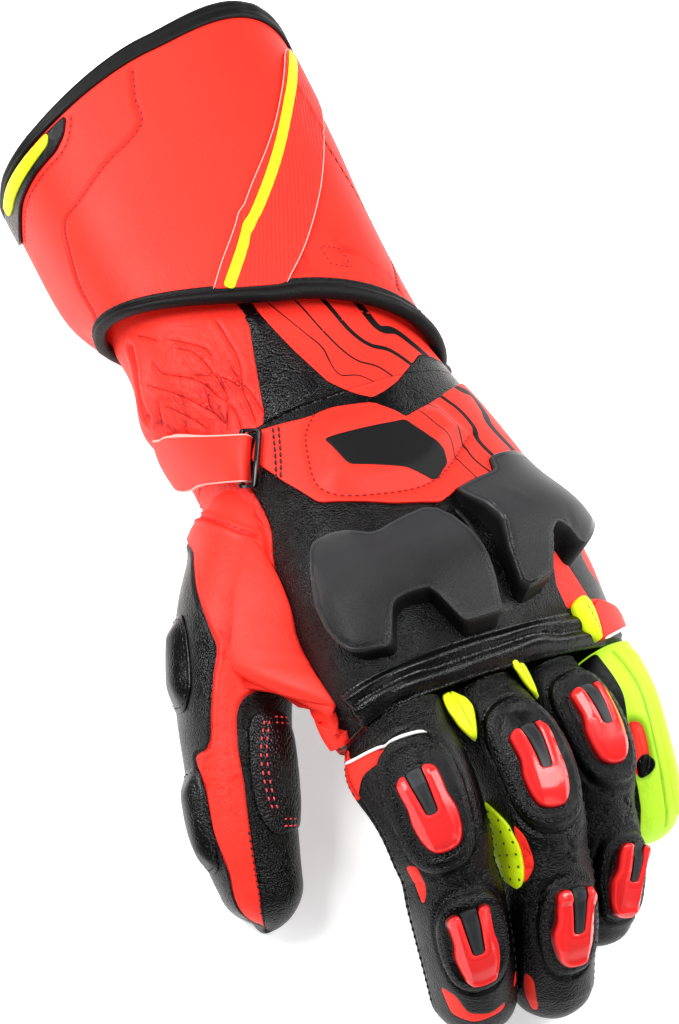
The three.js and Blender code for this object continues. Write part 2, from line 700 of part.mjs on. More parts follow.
function addHand() {
  const between = (from, to, turn, steps) => station => {
    const seams = rowAt(SEAMS, 'station', station)
    return range(seams[from] + SEAM_DEGREES, seams[to] + turn - SEAM_DEGREES, steps)
  }
  const back = between('little', 'back', 0, STEPS.hand.back)
  const side = between('back', 'palm', 0, STEPS.hand.side)
  const palm = between('palm', 'little', TURN, STEPS.hand.palm)
  const stations = range(WRIST_SEAM - GAP, KNUCKLES, STEPS.hand.along)
  const sleeve = range(SLEEVE_TOP, WRIST_SEAM, STEPS.sleeve.along)
  const panelOf = angles => sector(SKINS.hand, stations, angles, SLEEVE_WALL)
  addPiece('wrist_sleeve', tube(SKINS.hand, sleeve, STEPS.sleeve.around, SLEEVE_WALL), 'red')
  addPiece('back_panel', cut(panelOf(back), thumbHollow), 'black')
  addPiece('side_panel', cut(panelOf(side), thumbHollow), 'red')
  addPiece('palm_panel', cut(panelOf(palm), thumbHollow), 'black')
  addPiece('thumb', cut(fingerTube(SKINS.thumb, SLEEVE_WALL, STEPS.thumb), handInside), 'red')
  for (const name of Object.keys(FINGERS)) {
    addPiece(`${name}_finger`, fingerTube(SKINS[name], FINGER_WALL, STEPS.finger), name === 'little' ? 'neon' : 'black')
  }
}

function addPanels() {
  for (const [name, shape] of Object.entries(PANELS)) {
    addPiece(name, crownedPanel(shape), shape.colour)
  }
  addPiece('stretch_pleats', pleats(), 'black')
}

function addStrap() {
  const { outer, inner, bar, clear, base, height } = LOOP
  const opening = loopPlate(inner, clear, base - CUTTER.under, height + CUTTER.under + CUTTER.over)
  addPiece('wrist_strap', wristStrap(), 'red')
  addPiece('strap_loop', cut(loopPlate(outer, bar, base, height), toManifold(opening)), 'hardware')
}

function addSliders() {
  for (const place of SLIDERS) {
    addPiece(place.name, slider(place), 'slider')
    addPiece(`${place.name}_insert`, sliderInsert(place), 'insert')
  }
}

function addWebs() {
  const names = Object.keys(FINGERS)
  names.slice(1).forEach((far, i) => addPiece(`${names[i]}_${far}_gusset`, web(names[i], far), 'neon'))
}

addGauntlet()
addHand()
addPanels()
addStrap()
addSliders()
addWebs()

const bounds = new THREE.Box3().setFromObject(glove, true)
const centre = bounds.getCenter(new THREE.Vector3())
glove.position.set(-centre.x, -centre.y, -bounds.min.z)

export default glove
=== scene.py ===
"""The looks of a left-hand leather motorcycle race glove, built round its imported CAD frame.

Tables are in millimetres and Blender is in metres. A place on the glove is a station along it,
or a reach along a finger, and an angle round it: 0 is the little-finger side, 90 the back of
the hand, 180 the thumb side and 270 the palm. A lift is a height above that surface.
"""

import logging
import math
from dataclasses import dataclass, field
from enum import Enum
from typing import Callable, Sequence, Union

import bpy
import numpy as np
from mathutils import Matrix, Vector
from mathutils.geometry import delaunay_2d_cdt

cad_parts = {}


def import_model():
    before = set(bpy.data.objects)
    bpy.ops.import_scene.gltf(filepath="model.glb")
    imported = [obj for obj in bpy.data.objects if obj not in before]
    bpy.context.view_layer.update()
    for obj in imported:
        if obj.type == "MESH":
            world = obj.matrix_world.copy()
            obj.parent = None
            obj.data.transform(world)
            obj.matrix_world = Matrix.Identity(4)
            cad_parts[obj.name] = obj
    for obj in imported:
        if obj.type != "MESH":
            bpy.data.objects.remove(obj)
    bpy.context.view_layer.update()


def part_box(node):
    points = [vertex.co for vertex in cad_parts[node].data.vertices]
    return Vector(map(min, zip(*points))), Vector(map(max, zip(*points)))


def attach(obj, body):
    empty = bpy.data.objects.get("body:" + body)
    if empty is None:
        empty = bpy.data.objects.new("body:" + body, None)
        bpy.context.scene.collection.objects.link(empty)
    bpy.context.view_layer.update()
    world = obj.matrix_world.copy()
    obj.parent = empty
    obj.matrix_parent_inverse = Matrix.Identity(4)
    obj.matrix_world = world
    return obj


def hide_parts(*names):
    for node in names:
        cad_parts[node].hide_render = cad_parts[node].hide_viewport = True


Array = np.ndarray
Place = tuple[float, float]
Places = Sequence[Place]
Heights = Callable[[Array, Array], Array]
Rows = Sequence[Sequence[float]]
Faces = list[tuple[int, ...]]
Colour = tuple[float, float, float]
Piece = bpy.types.Object
Material = bpy.types.Material

MM, PER_METRE = 0.001, 1000.0
TURN = 360.0
LOG = logging.getLogger("glove")

# The stations where one piece ends and the next begins
MOUTH, HEM = 113.0, 26.0
SLEEVE_TOP, WRIST_SEAM = 62.0, -8.0
KNUCKLES, FINGER_ROOT = -106.0, -106.3
GAUNTLET_WALL, HAND_WALL, FINGER_WALL = 3.0, 2.4, 2.2

# Heights of the undersides above the table
GAUNTLET_FLOOR = 1.35
SLEEVE_FLOOR = 4.65
FLOOR_RAMP = (-16.0, 0.0)

# Squareness of the sections, and how the fingers lie
BODY_SQUARENESS, FINGER_SQUARENESS = 2.5, 2.3
ROOT_BLEND = 12.0
FINGER_TIP, THUMB_TIP = 11.0, 12.5
FINGER_ROLL, THUMB_ROLL = 22.0, 5.0

# How far from its edge a coloured field, and from its line a stripe, is still written down
FIELD_REACH, STRIPE_REACH = 4.0, 9.0
# How many points are measured at once, and how near a line has to be to matter
BLOCK = 4000
NEAR = 12.0
# Where a dome's rows stop short of its pole
ALMOST = 0.9995

BODY = "station x z thumb_side little_side rise drop roll lead crest skew"
GAUNTLET_ROWS = (
    (113, 4.5, 36, 52.5, 52.5, 36, 40, 0, 2, 9, 6),
    (90, 3.5, 35.5, 51.5, 51.5, 34.5, 40, 1, -6, 6, 5),
    (60, 2, 34, 50, 50, 32.5, 39, 3, -14, 4, 2),
    (26, 1.5, 33.5, 49, 50.5, 31, 38.5, 5, -24, 1.5, 2),
)
HAND_ROWS = (
    (62, 1, 33.5, 42, 42, 25.5, 28.5, 2, 0, 0, 0),
    (35, 2, 33, 42.5, 42, 25.5, 27.5, 4, 0, 0, 0),
    (14, 3.5, 32, 44, 41.5, 26, 28, 5.5, 0, 0, 0),
    (-8, 5, 31, 45.5, 44, 27, 33, 9.5, 0, 0, 0),
    (-26, 6, 32, 46.5, 47.5, 27, 34, 14.5, 0, 0, 0),
    (-48, 7, 34, 50, 50, 26, 31, 17.5, 0, 0, 0),
    (-75, 7, 35, 54, 52, 25, 26, 20, 0, 0, 0),
    (-92, 6, 35, 56, 52, 22, 22, 21.5, 0, 0, 0),
    (-106, 5.5, 34, 53.5, 51.5, 18, 18, 22, 0, 0, 0),
)
FINGER = "x y z half_width rise drop"
FINGER_ROWS = {
    "index": (
        (-31, FINGER_ROOT, 48.5, 12.8, 15.5, 15),
        (-34.5, -128, 49.5, 13.6, 15.5, 14.5),
        (-37, -148, 42, 13, 14.5, 14),
        (-38.3, -165, 27, 12.5, 13.5, 13),
        (-39.4, -177, 13, 11.4, 12.5, 12),
        (-40.2, -183, 5, 10.6, 12, 12),
    ),
    "middle": (
        (-5.5, FINGER_ROOT, 40, 12.6, 15.5, 14.5),
        (-4, -131, 43.5, 12.8, 15, 14.5),
        (-8.5, -154, 37, 12.6, 14.5, 14),
        (-14, -172, 23, 12.2, 13.5, 13),
        (-17.3, -184, 11, 10.9, 12.5, 12),
        (-18.3, -190, 5, 10, 12, 12),
    ),
    "ring": (
        (19, FINGER_ROOT, 30, 12, 15, 14.5),
        (19.8, -128, 32, 11.8, 15, 14),
        (15.5, -147, 27, 11.8, 14, 13.5),
        (9.5, -162, 17.5, 11.5, 13, 12.5),
        (4.8, -172, 9.5, 10.7, 12, 11.5),
        (2.5, -177, 5, 10.5, 12, 11.5),
    ),
    "little": (
        (42.5, FINGER_ROOT, 21, 11.5, 14, 13.5),
        (42, -122, 22.5, 11.4, 14, 13.5),
        (38.2, -138, 17.5, 11.3, 13, 12.5),
        (34.5, -149, 11.5, 11, 12, 11.5),
        (31.5, -157.5, 6.5, 10.5, 11, 11),
    ),
}
THUMB_ROWS = (
    (-18, -14, 34, 15, 16, 16),
    (-44.5, -45, 33, 19, 18, 18),
    (-60, -68, 27, 17, 17, 17),
    (-68.5, -88, 22, 15.5, 16, 16),
    (-75, -106, 17, 14.5, 14.5, 14.5),
    (-79.5, -121, 12, 13.5, 13.5, 13.5),
    (-82, -133.5, 8.5, 12.5, 13, 13),
)


def smooth(values: Array) -> Array:
    """A soft step from 0 to 1 as the values go from 0 to 1."""
    part = np.clip(values, 0.0, 1.0)
    return part * part * (3.0 - 2.0 * part)


def bell(values: Array) -> Array:
    """A round bump that is 1 at 0 and has almost gone at 2."""
    return np.exp(-values * values)


def unit(vectors: Array) -> Array:
    """Vectors brought to length 1."""
    return vectors / np.linalg.norm(vectors, axis=-1, keepdims=True)


def left_of(steps: Array) -> Array:
    """Flat steps turned a quarter to the left."""
    return np.stack([-steps[:, 1], steps[:, 0]], axis=-1)


def reach_along(path: Array) -> Array:
    """The way along a line to each of its points."""
    return np.concatenate([[0.0], np.cumsum(np.linalg.norm(np.diff(path, axis=0), axis=1))])


class SizeTable:
    """Rows of named sizes, with a smooth curve through them."""

    def __init__(self, columns: str, rows: Rows) -> None:
        """Keeps the rows, with one more made up at each end.

        Args:
            columns: the names of the columns, the first of which is the place.
            rows: one row of sizes for each place.
        """
        self.names = columns.split()
        values = np.array(rows, float)
        self.places = values[:, 0]
        self.rows = np.vstack([2 * values[0] - values[1], values, 2 * values[-1] - values[-2]])

    def at(self, places: Array) -> dict[str, Array]:
        """The sizes at any places.

        Args:
            places: places along the table's first column.

        Returns:
            One array for each column's name.
        """
        sign = np.sign(self.places[1] - self.places[0])
        found = np.searchsorted(sign * self.places, sign * places, side="right") - 1
        i = np.clip(found, 0, len(self.places) - 2)
        part = (places - self.places[i]) / (self.places[i + 1] - self.places[i])
        part = part[..., None]
        before, start, end, after = (self.rows[i + k] for k in range(4))
        bend = 2 * before - 5 * start + 4 * end - after
        twist = 3 * start - before - 3 * end + after
        values = 0.5 * (2 * start + (end - before) * part + bend * part**2 + twist * part**3)
        sizes = {name: values[..., k] for k, name in enumerate(self.names)}
        sizes[self.names[0]] = places
        return sizes


def squared(degrees: Array, squareness: float) -> tuple[Array, Array]:
    """The cosine and sine of a squared-off circle.

    Args:
        degrees: angles round the section.
        squareness: 2 is a circle, more is squarer.

    Returns:
        The sideways and the upward share of the half sizes.
    """
    cos, sin = np.cos(np.radians(degrees)), np.sin(np.radians(degrees))
    power = 2.0 / squareness
    return np.sign(cos) * np.abs(cos) ** power, np.sign(sin) * np.abs(sin) ** power


class Skin:
    """A curved surface of the glove, found by place, angle and lift."""

    origin = np.zeros(3)
    flat_at = 0.0

    def local(self, place: Array, degrees: Array, lift: Array) -> Array:
        """Points in millimetres in the tables' own frame."""
        raise NotImplementedError

    def points(self, place: Array, degrees: Array, lift: Array | float = 0.0) -> Array:
        """Points of the surface in the glove's frame.

        Args:
            place: station or reach of each point.
            degrees: angle of each point.
            lift: height above the surface.

        Returns:
            Points in metres, one row of three for each.
        """
        place, degrees, lift = np.broadcast_arrays(place, degrees, lift)
        return self.local(place.astype(float), degrees.astype(float), lift.astype(float)) * MM + Skin.origin

    def unroll(self) -> None:
        """Measures the way round the skin once, so that outlines can be drawn flat."""
        self.turns = np.arange(-120.0, 481.0, 2.0)
        ring = self.local(np.full_like(self.turns, self.flat_at), self.turns, np.zeros_like(self.turns))
        self.arc = reach_along(ring)

    def flat(self, places: Array) -> Array:
        """Places and angles turned into millimetres along and round the skin."""
        places = np.asarray(places, float)
        return np.stack([places[..., 0], np.interp(places[..., 1], self.turns, self.arc)], axis=-1)

    def angles(self, around: Array) -> Array:
        """Millimetres round the skin turned back into angles."""
        return np.interp(around, self.arc, self.turns)


class BodySkin(Skin):
    """A tube along Y: the gauntlet, or the sleeve and hand."""

    def __init__(self, rows: Rows, floor: Callable[[Array], Array], flat_at: float) -> None:
        """Keeps the sections.

        Args:
            rows: sections with the columns of BODY.
            floor: height of the flattened underside at each Y.
            flat_at: station where the way round is measured.
        """
        self.table = SizeTable(BODY, rows)
        self.floor = floor
        self.flat_at = flat_at
        self.unroll()

    def local(self, place: Array, degrees: Array, lift: Array) -> Array:
        """Points in millimetres in the tables' own frame.

        Args:
            place: station or reach of each point.
            degrees: angle of each point.
            lift: height above the surface.

        Returns:
            One row of three for each point.
        """
        row = self.table.at(place)
        cos, sin = squared(degrees, BODY_SQUARENESS)
        turn, roll = np.radians(degrees), np.radians(row["roll"])
        across = cos * (np.where(cos < 0, row["thumb_side"], row["little_side"]) + lift)
        above = sin * (np.where(sin > 0, row["rise"], row["drop"]) + lift)
        slant = row["lead"] * np.cos(turn) + row["crest"] * np.sin(turn) + row["skew"] * np.sin(2 * turn)
        y = place + slant
        z = row["z"] - across * np.sin(roll) + above * np.cos(roll)
        x = row["x"] + across * np.cos(roll) + above * np.sin(roll)
        return np.stack([x, y, np.maximum(z, np.maximum(self.floor(y) - lift, 0.0))], axis=-1)


class FingerSkin(Skin):
    """A finger: a tube along its own centre line, closed by a dome."""

    def __init__(self, rows: Rows, roll: float, tip: float, blend: float) -> None:
        """Keeps the sections and measures the finger's length.

        Args:
            rows: sections with the columns of FINGER, from the root.
            roll: turn of the finger about its own length, in degrees.
            tip: radius of the dome at its end.
            blend: length over which the root turns square to the glove.
        """
        values = np.array(rows, float)
        reach = reach_along(values[:, :3])
        self.table = SizeTable("reach " + FINGER, np.column_stack([reach, values]))
        self.length = float(reach[-1])
        self.roll = math.radians(roll)
        self.tip = tip
        self.blend = blend
        self.flat_at = 0.4 * self.length
        self.unroll()

    def centre(self, reach: Array) -> Array:
        """Points of the centre line."""
        row = self.table.at(reach)
        return np.stack([row["x"], row["y"], row["z"]], axis=-1)

    def along(self, reach: Array) -> Array:
        """Directions of the centre line.

        Args:
            reach: reach of each point.

        Returns:
            Steps of length 1.
        """
        step = unit(self.centre(reach + 0.5) - self.centre(reach - 0.5))
        if self.blend:
            part = np.clip(reach / self.blend, 0.0, 1.0)[..., None]
            step = unit(np.array([0.0, -1.0, 0.0]) * (1 - part) + step * part)
        return step

    def local(self, place: Array, degrees: Array, lift: Array) -> Array:
        """Points in millimetres in the tables' own frame.

        Args:
            place: station or reach of each point.
            degrees: angle of each point.
            lift: height above the surface.

        Returns:
            One row of three for each point.
        """
        row = self.table.at(place)
        along = self.along(place)
        side = np.array([math.cos(self.roll), 0.0, -math.sin(self.roll)])
        side = unit(side - (along @ side)[..., None] * along)
        up = np.cross(along, side)
        radius = self.tip + lift
        over = np.maximum(0.0, place - (self.length + lift - radius)) / radius
        close = np.sqrt(np.maximum(0.0, 1.0 - over * over))
        cos, sin = squared(degrees, FINGER_SQUARENESS)
        across = cos * (row["half_width"] + lift) * close
        above = sin * (np.where(sin > 0, row["rise"], row["drop"]) + lift) * close
        point = self.centre(place) + side * across[..., None] + up * above[..., None]
        point[..., 2] = np.maximum(point[..., 2], np.maximum(-lift, 0.0))
        return point


def sleeve_floor(y: Array) -> Array:
    """Height of the underside of the sleeve and hand at each Y."""
    start, end = FLOOR_RAMP
    return SLEEVE_FLOOR * smooth((y - start) / (end - start))


def gauntlet_floor(y: Array) -> Array:
    """Height of the underside of the gauntlet."""
    return np.full_like(y, GAUNTLET_FLOOR)


def resampled(path: Array, spacing: float, closed: bool) -> Array:
    """The same line with evenly spaced points.

    Args:
        path: points of the line.
        spacing: wanted distance between points.
        closed: whether the last point joins the first.

    Returns:
        The new points, without the first one again at the end.
    """
    line = np.vstack([path, path[:1]]) if closed else path
    reach = reach_along(line)
    count = max(3, int(round(reach[-1] / spacing)))
    wanted = np.linspace(0.0, reach[-1], count + 1)
    if closed:
        wanted = wanted[:-1]
    return np.stack([np.interp(wanted, reach, line[:, k]) for k in range(line.shape[1])], axis=-1)


def rounded(corners: Array, radius: float, spacing: float) -> Array:
    """A closed outline with rounded corners and evenly spaced points.

    Args:
        corners: corner points.
        radius: how far from a corner its rounding starts.
        spacing: distance between the points of the outline.

    Returns:
        Points of the outline, turning anticlockwise.
    """
    before, after = np.roll(corners, 1, axis=0), np.roll(corners, -1, axis=0)
    points = []
    for last, corner, following in zip(before, corners, after):
        back, on = last - corner, following - corner
        cut_back = min(radius / max(np.linalg.norm(back), 1e-9), 0.48)
        cut_on = min(radius / max(np.linalg.norm(on), 1e-9), 0.48)
        start, end = corner + back * cut_back, corner + on * cut_on
        for part in np.linspace(0.0, 1.0, 9):
            points.append((1 - part) ** 2 * start + 2 * part * (1 - part) * corner + part**2 * end)
    outline = resampled(np.array(points), spacing, True)
    following = np.roll(outline, -1, axis=0)
    area = np.sum(outline[:, 0] * following[:, 1] - outline[:, 1] * following[:, 0])
    return outline if area > 0 else outline[::-1]


def eased(path: Array, spacing: float) -> Array:
    """An open line made smooth through its points.

    Args:
        path: points that the line passes through.
        spacing: distance between the new points.

    Returns:
        Evenly spaced points of the smooth line.
    """
    reach = reach_along(path)
    table = SizeTable("reach u v", np.column_stack([reach, path]))
    fine = table.at(np.linspace(0.0, reach[-1], max(8, int(reach[-1] / spacing) * 2)))
    return resampled(np.stack([fine["u"], fine["v"]], axis=-1), spacing, False)


def distance_to(points: Array, path: Array, closed: bool = False, near: float = NEAR) -> Array:
    """Distance from each point to a line, right up to near and cut off there.

    Args:
        points: flat points.
        path: points of the line.
        closed: whether the last point joins the first.
        near: the largest distance that matters.

    Returns:
        One distance for each point.
    """
    start = path if closed else path[:-1]
    end = np.roll(path, -1, axis=0) if closed else path[1:]
    shape = points.shape[:-1]
    points = points.reshape(-1, 2)
    low, high = path.min(axis=0) - near, path.max(axis=0) + near
    close = np.all((points > low) & (points < high), axis=1)
    result = np.full(len(points), near)
    step = end - start
    length = np.maximum(np.sum(step * step, axis=1), 1e-12)
    chosen = np.flatnonzero(close)
    for block in np.array_split(chosen, max(1, len(chosen) // BLOCK)):
        away = points[block][:, None, :] - start[None]
        part = np.clip(np.sum(away * step, axis=2) / length, 0.0, 1.0)
        gap = np.linalg.norm(away - part[..., None] * step, axis=2).min(axis=1)
        result[block] = np.minimum(gap, near)
    return result.reshape(shape)


def inside(points: Array, outline: Array) -> Array:
    """Whether each flat point lies inside a closed outline.

    Args:
        points: flat points.
        outline: points of the outline.

    Returns:
        True or False for each point.
    """
    shape = points.shape[:-1]
    flat = points.reshape(-1, 2)
    within = np.zeros(len(flat), bool)
    for start, end in zip(outline, np.roll(outline, -1, axis=0)):
        crosses = (start[1] > flat[:, 1]) != (end[1] > flat[:, 1])
        if not crosses.any():
            continue
        at = start[0] + (flat[:, 1] - start[1]) * (end[0] - start[0]) / (end[1] - start[1])
        within ^= crosses & (flat[:, 0] < at)
    return within.reshape(shape)


def aside_of(points: Array, path: Array) -> Array:
    """Distance from each point to a line, less than 0 on its right-hand side.

    Args:
        points: flat points.
        path: points of the line.

    Returns:
        One distance for each point.
    """
    shape = points.shape[:-1]
    points = points.reshape(-1, 2)
    start, step = path[:-1], np.diff(path, axis=0)
    length = np.maximum(np.sum(step * step, axis=1), 1e-12)
    result = np.zeros(len(points))
    for block in np.array_split(np.arange(len(points)), max(1, len(points) // BLOCK)):
        away = points[block][:, None, :] - start[None]
        part = np.clip(np.sum(away * step, axis=2) / length, 0.0, 1.0)
        gap = np.linalg.norm(away - part[..., None] * step, axis=2)
        best = gap.argmin(axis=1)
        row = np.arange(len(block))
        to = away[row, best]
        turn = step[best, 0] * to[:, 1] - step[best, 1] * to[:, 0]
        result[block] = gap[row, best] * np.where(turn < 0, -1.0, 1.0)
    return result.reshape(shape)


def depth_in(points: Array, outline: Array, near: float = NEAR) -> Array:
    """How far each point lies inside an outline: less than 0 outside."""
    gap = distance_to(points, outline, True, near)
    return np.where(inside(points, outline), gap, -gap)


class Grid:
    """A lattice of seeded random numbers, read as smooth noise."""

    SIZE = 128

    def __init__(self, seed: int) -> None:
        """Draws the lattice's numbers from a seed."""
        self.values = np.random.default_rng(seed).uniform(-1.0, 1.0, (self.SIZE, self.SIZE))

    def noise(self, u: Array, v: Array) -> Array:
        """Smooth noise from -1 to 1 with features one unit across.

        Args:
            u: places one way.
            v: places the other way.

        Returns:
            One number for each place.
        """
        i, j = np.floor(u).astype(int), np.floor(v).astype(int)
        a, b = smooth(u - i), smooth(v - j)
        corner = [
            [self.values[(i + p) % self.SIZE, (j + q) % self.SIZE] for q in (0, 1)] for p in (0, 1)
        ]
        low = corner[0][0] * (1 - b) + corner[0][1] * b
        high = corner[1][0] * (1 - b) + corner[1][1] * b
        return low * (1 - a) + high * a

    def layered(self, u: Array, v: Array, layers: int = 3) -> Array:
        """Noise with finer noise added to it, each layer half as strong."""
        return sum(self.noise(u * 2**k + 17.3 * k, v * 2**k + 9.1 * k) / 2**k for k in range(layers)) / 1.6


@dataclass(frozen=True)
class Groove:
    """A seam or crease pressed into leather along a line."""

    path: Places
    depth: float = 0.6
    width: float = 0.8
    lip: float = 0.3
    closed: bool = False

    def lift(self, skin: Skin, flat: Array) -> tuple[Array, Array]:
        """Height and shade of the groove.

        Args:
            skin: the skin that it lies on.
            flat: flat points of the skin.

        Returns:
            The change of height and the darkness, from 0 to 1, at each point.
        """
        corners = skin.flat(self.path)
        line = rounded(corners, 6.0, 1.5) if self.closed else eased(corners, 1.5)
        gap = distance_to(flat, line, self.closed, 5.0 * self.width) / self.width
        return self.depth * (self.lip * bell(gap - 2.0) - bell(gap)), bell(gap)


@dataclass(frozen=True)
class Frame:
    """An oval padded ring round a finger slider."""

    place: Place
    half_length: float
    half_width: float
    height: float = 2.1
    ring: float = 3.6

    def oval(self, skin: Skin, grown: float = 0.0) -> Array:
        """The ring's outer edge as flat points, grown by a margin.

        Args:
            skin: the skin that it lies on.
            grown: the margin in millimetres.

        Returns:
            Points of the edge.
        """
        middle = skin.flat(np.array(self.place))
        cos, sin = squared(np.arange(0.0, TURN, 5.0), 2.6)
        return np.stack([
            middle[0] + cos * (self.half_length + grown), middle[1] + sin * (self.half_width + grown)
        ], axis=-1)

    def lift(self, skin: Skin, flat: Array) -> tuple[Array, Array]:
        """Height and shade of the ring at each flat point.

        Args:
            skin: the skin that it lies on.
            flat: flat points of the skin.

        Returns:
            The change of height and the darkness, from 0 to 1, at each point.
        """
        deep = depth_in(flat, self.oval(skin))
        seam = bell(deep / 0.6) + 0.3 * bell((deep - 2.6) / 0.45)
        raised = self.height * smooth(deep / 2.2) - 0.45 * self.height * smooth((deep - self.ring) / 1.6)
        return raised - 0.7 * seam, 0.8 * seam


@dataclass(frozen=True)
class Mound:
    """A soft swelling or hollow."""

    place: Place
    along: float
    around: float
    height: float

    def lift(self, skin: Skin, flat: Array) -> tuple[Array, Array]:
        """Height and shade of the mound at each flat point.

        Args:
            skin: the skin that it lies on.
            flat: flat points of the skin.

        Returns:
            The change of height and the darkness, from 0 to 1, at each point.
        """
        middle = skin.flat(np.array(self.place))
        u, v = (flat[..., 0] - middle[0]) / self.along, (flat[..., 1] - middle[1]) / self.around
        away = u**2 + v**2
        return self.height * np.exp(-away), np.zeros_like(away)


@dataclass(frozen=True)
class Wrinkles:
    """A net of soft folds inside a round patch of leather."""

    place: Place
    along: float
    around: float
    depth: float
    fold_along: float
    fold_around: float
    seed: int
    slant: float = 0.0
    crease: float = 0.1

    def lift(self, skin: Skin, flat: Array) -> tuple[Array, Array]:
        """Height and shade of the folds at each flat point.

        Args:
            skin: the skin that it lies on.
            flat: flat points of the skin.

        Returns:
            The change of height and the darkness, from 0 to 1, at each point.
        """
        middle = skin.flat(np.array(self.place))
        u, v = flat[..., 0] - middle[0], flat[..., 1] - middle[1]
        patch = np.exp(-((u / self.along) ** 2 + (v / self.around) ** 2) ** 1.5)
        turn = math.radians(self.slant)
        u, v = u * math.cos(turn) + v * math.sin(turn), v * math.cos(turn) - u * math.sin(turn)
        grid = Grid(self.seed)
        crease = bell(grid.layered(u / self.fold_along + 31.0, v / self.fold_around + 57.0) / self.crease)
        swell = grid.noise(u / self.fold_along * 0.6 + 3.0, v / self.fold_around * 0.6)
        return self.depth * patch * (0.6 * swell + 0.25 - crease), 0.8 * patch * crease


@dataclass(frozen=True)
class Creases:
    """Sharp creases along lines: each is a thin valley between two soft rolls."""

    AT = 10.0

    lines: tuple[Places, ...]
    depth: float = 0.35
    width: float = 0.75

    def aside(self, skin: Skin, flat: Array) -> Array:
        """Distance to the nearest crease, less than 0 on its right-hand side.

        Args:
            skin: the skin that it lies on.
            flat: flat points of the skin.

        Returns:
            One distance in millimetres for each point.
        """
        nearest = np.full(flat.shape[:-1], self.AT)
        for line in self.lines:
            path = eased(skin.flat(line), 1.0)
            low, high = path.min(axis=0) - 6.0, path.max(axis=0) + 6.0
            close = np.all((flat > low) & (flat < high), axis=-1)
            gap = aside_of(flat[close], path)
            nearest[close] = np.where(np.abs(gap) < np.abs(nearest[close]), gap, nearest[close])
        return nearest

    def lift(self, skin: Skin, flat: Array) -> tuple[Array, Array]:
        """Height and shade of the creases at each flat point."""
        gap = np.abs(self.aside(skin, flat)) / self.width
        return self.depth * (0.5 * bell(gap - 2.0) - bell(gap)), 0.3 * bell(gap)


class Folds:
    """A patch where the leather is creased and its grain is stretched open."""

    def __init__(self, *patches: tuple[float, float, float, float, float]) -> None:
        """Keeps patches of place, angle, half length, half width and strength."""
        self.patches = patches

    def at(self, skin: Skin, flat: Array) -> Array:
        """How creased each flat point is, from 0 to about 1.

        Args:
            skin: the skin that it lies on.
            flat: flat points of the skin.

        Returns:
            One number for each point.
        """
        total = np.zeros(flat.shape[:-1])
        for place, angle, along, around, strength in self.patches:
            away = flat - skin.flat(np.array((place, angle)))
            total += strength * np.exp(-((away[..., 0] / along) ** 2) - (away[..., 1] / around) ** 2)
        return total


class Relief:
    """Everything that shapes a skin's leather: seams, pads, folds and ribs."""

    def __init__(self, skin: Skin, *features: object) -> None:
        """Keeps the skin and its features."""
        self.skin = skin
        self.features = features

    def at(self, flat: Array) -> tuple[Array, Array]:
        """Height and shade of all features together.

        Args:
            flat: flat points of the skin.

        Returns:
            The height in millimetres and the shade, from 0 to 1.
        """
        lift, shade = np.zeros(flat.shape[:-1]), np.zeros(flat.shape[:-1])
        for feature in self.features:
            more, dark = feature.lift(self.skin, flat)
            lift += more
            shade = np.maximum(shade, dark)
        return lift, np.clip(shade, 0.0, 1.0)

    def swell(self, flat: Array) -> Array:
        """Height of the soft swellings alone, which the inner side follows too.

        Args:
            flat: flat points of the skin.

        Returns:
            One height in millimetres for each point.
        """
        total = np.zeros(flat.shape[:-1])
        for feature in self.features:
            if isinstance(feature, Mound):
                total += feature.lift(self.skin, flat)[0]
        return total


def object_from(name: str, points: Array, faces: Sequence[Sequence[int]]) -> Piece:
    """A new object from points in the glove's frame.

    Args:
        name: the object's name.
        points: its vertices in metres.
        faces: vertex numbers of each face.

    Returns:
        The object, linked to the scene.
    """
    mesh = bpy.data.meshes.new(name)
    mesh.from_pydata(points.tolist(), [], faces)
    mesh.validate()
    made = bpy.data.objects.new(name, mesh)
    bpy.context.scene.collection.objects.link(made)
    mesh.polygons.foreach_set("use_smooth", np.ones(len(mesh.polygons), bool))
    return made


def turn_outwards(piece: Piece) -> None:
    """Turns a closed piece's faces outwards where its volume is negative.

    Args:
        piece: the piece.
    """
    mesh = piece.data
    points = np.zeros(len(mesh.vertices) * 3)
    mesh.vertices.foreach_get("co", points)
    points = points.reshape(-1, 3)
    mesh.calc_loop_triangles()
    corners = np.zeros(len(mesh.loop_triangles) * 3, int)
    mesh.loop_triangles.foreach_get("vertices", corners)
    a, b, c = (points[corners.reshape(-1, 3)[:, k]] for k in range(3))
    if np.sum(a * np.cross(b, c)) < 0:
        mesh.flip_normals()


def note(piece: Piece, name: str, values: Array, missing: float = 0.0) -> None:
    """Writes one number a vertex to a named attribute, with another for the vertices left over.

    Args:
        piece: the piece.
        name: the attribute's name.
        values: numbers of the first vertices.
        missing: the number of all others.
    """
    attribute = piece.data.attributes.new(name, "FLOAT", "POINT")
    full = np.full(len(piece.data.vertices), missing, np.float32)
    full[: values.size] = values.ravel()
    attribute.data.foreach_set("value", full)


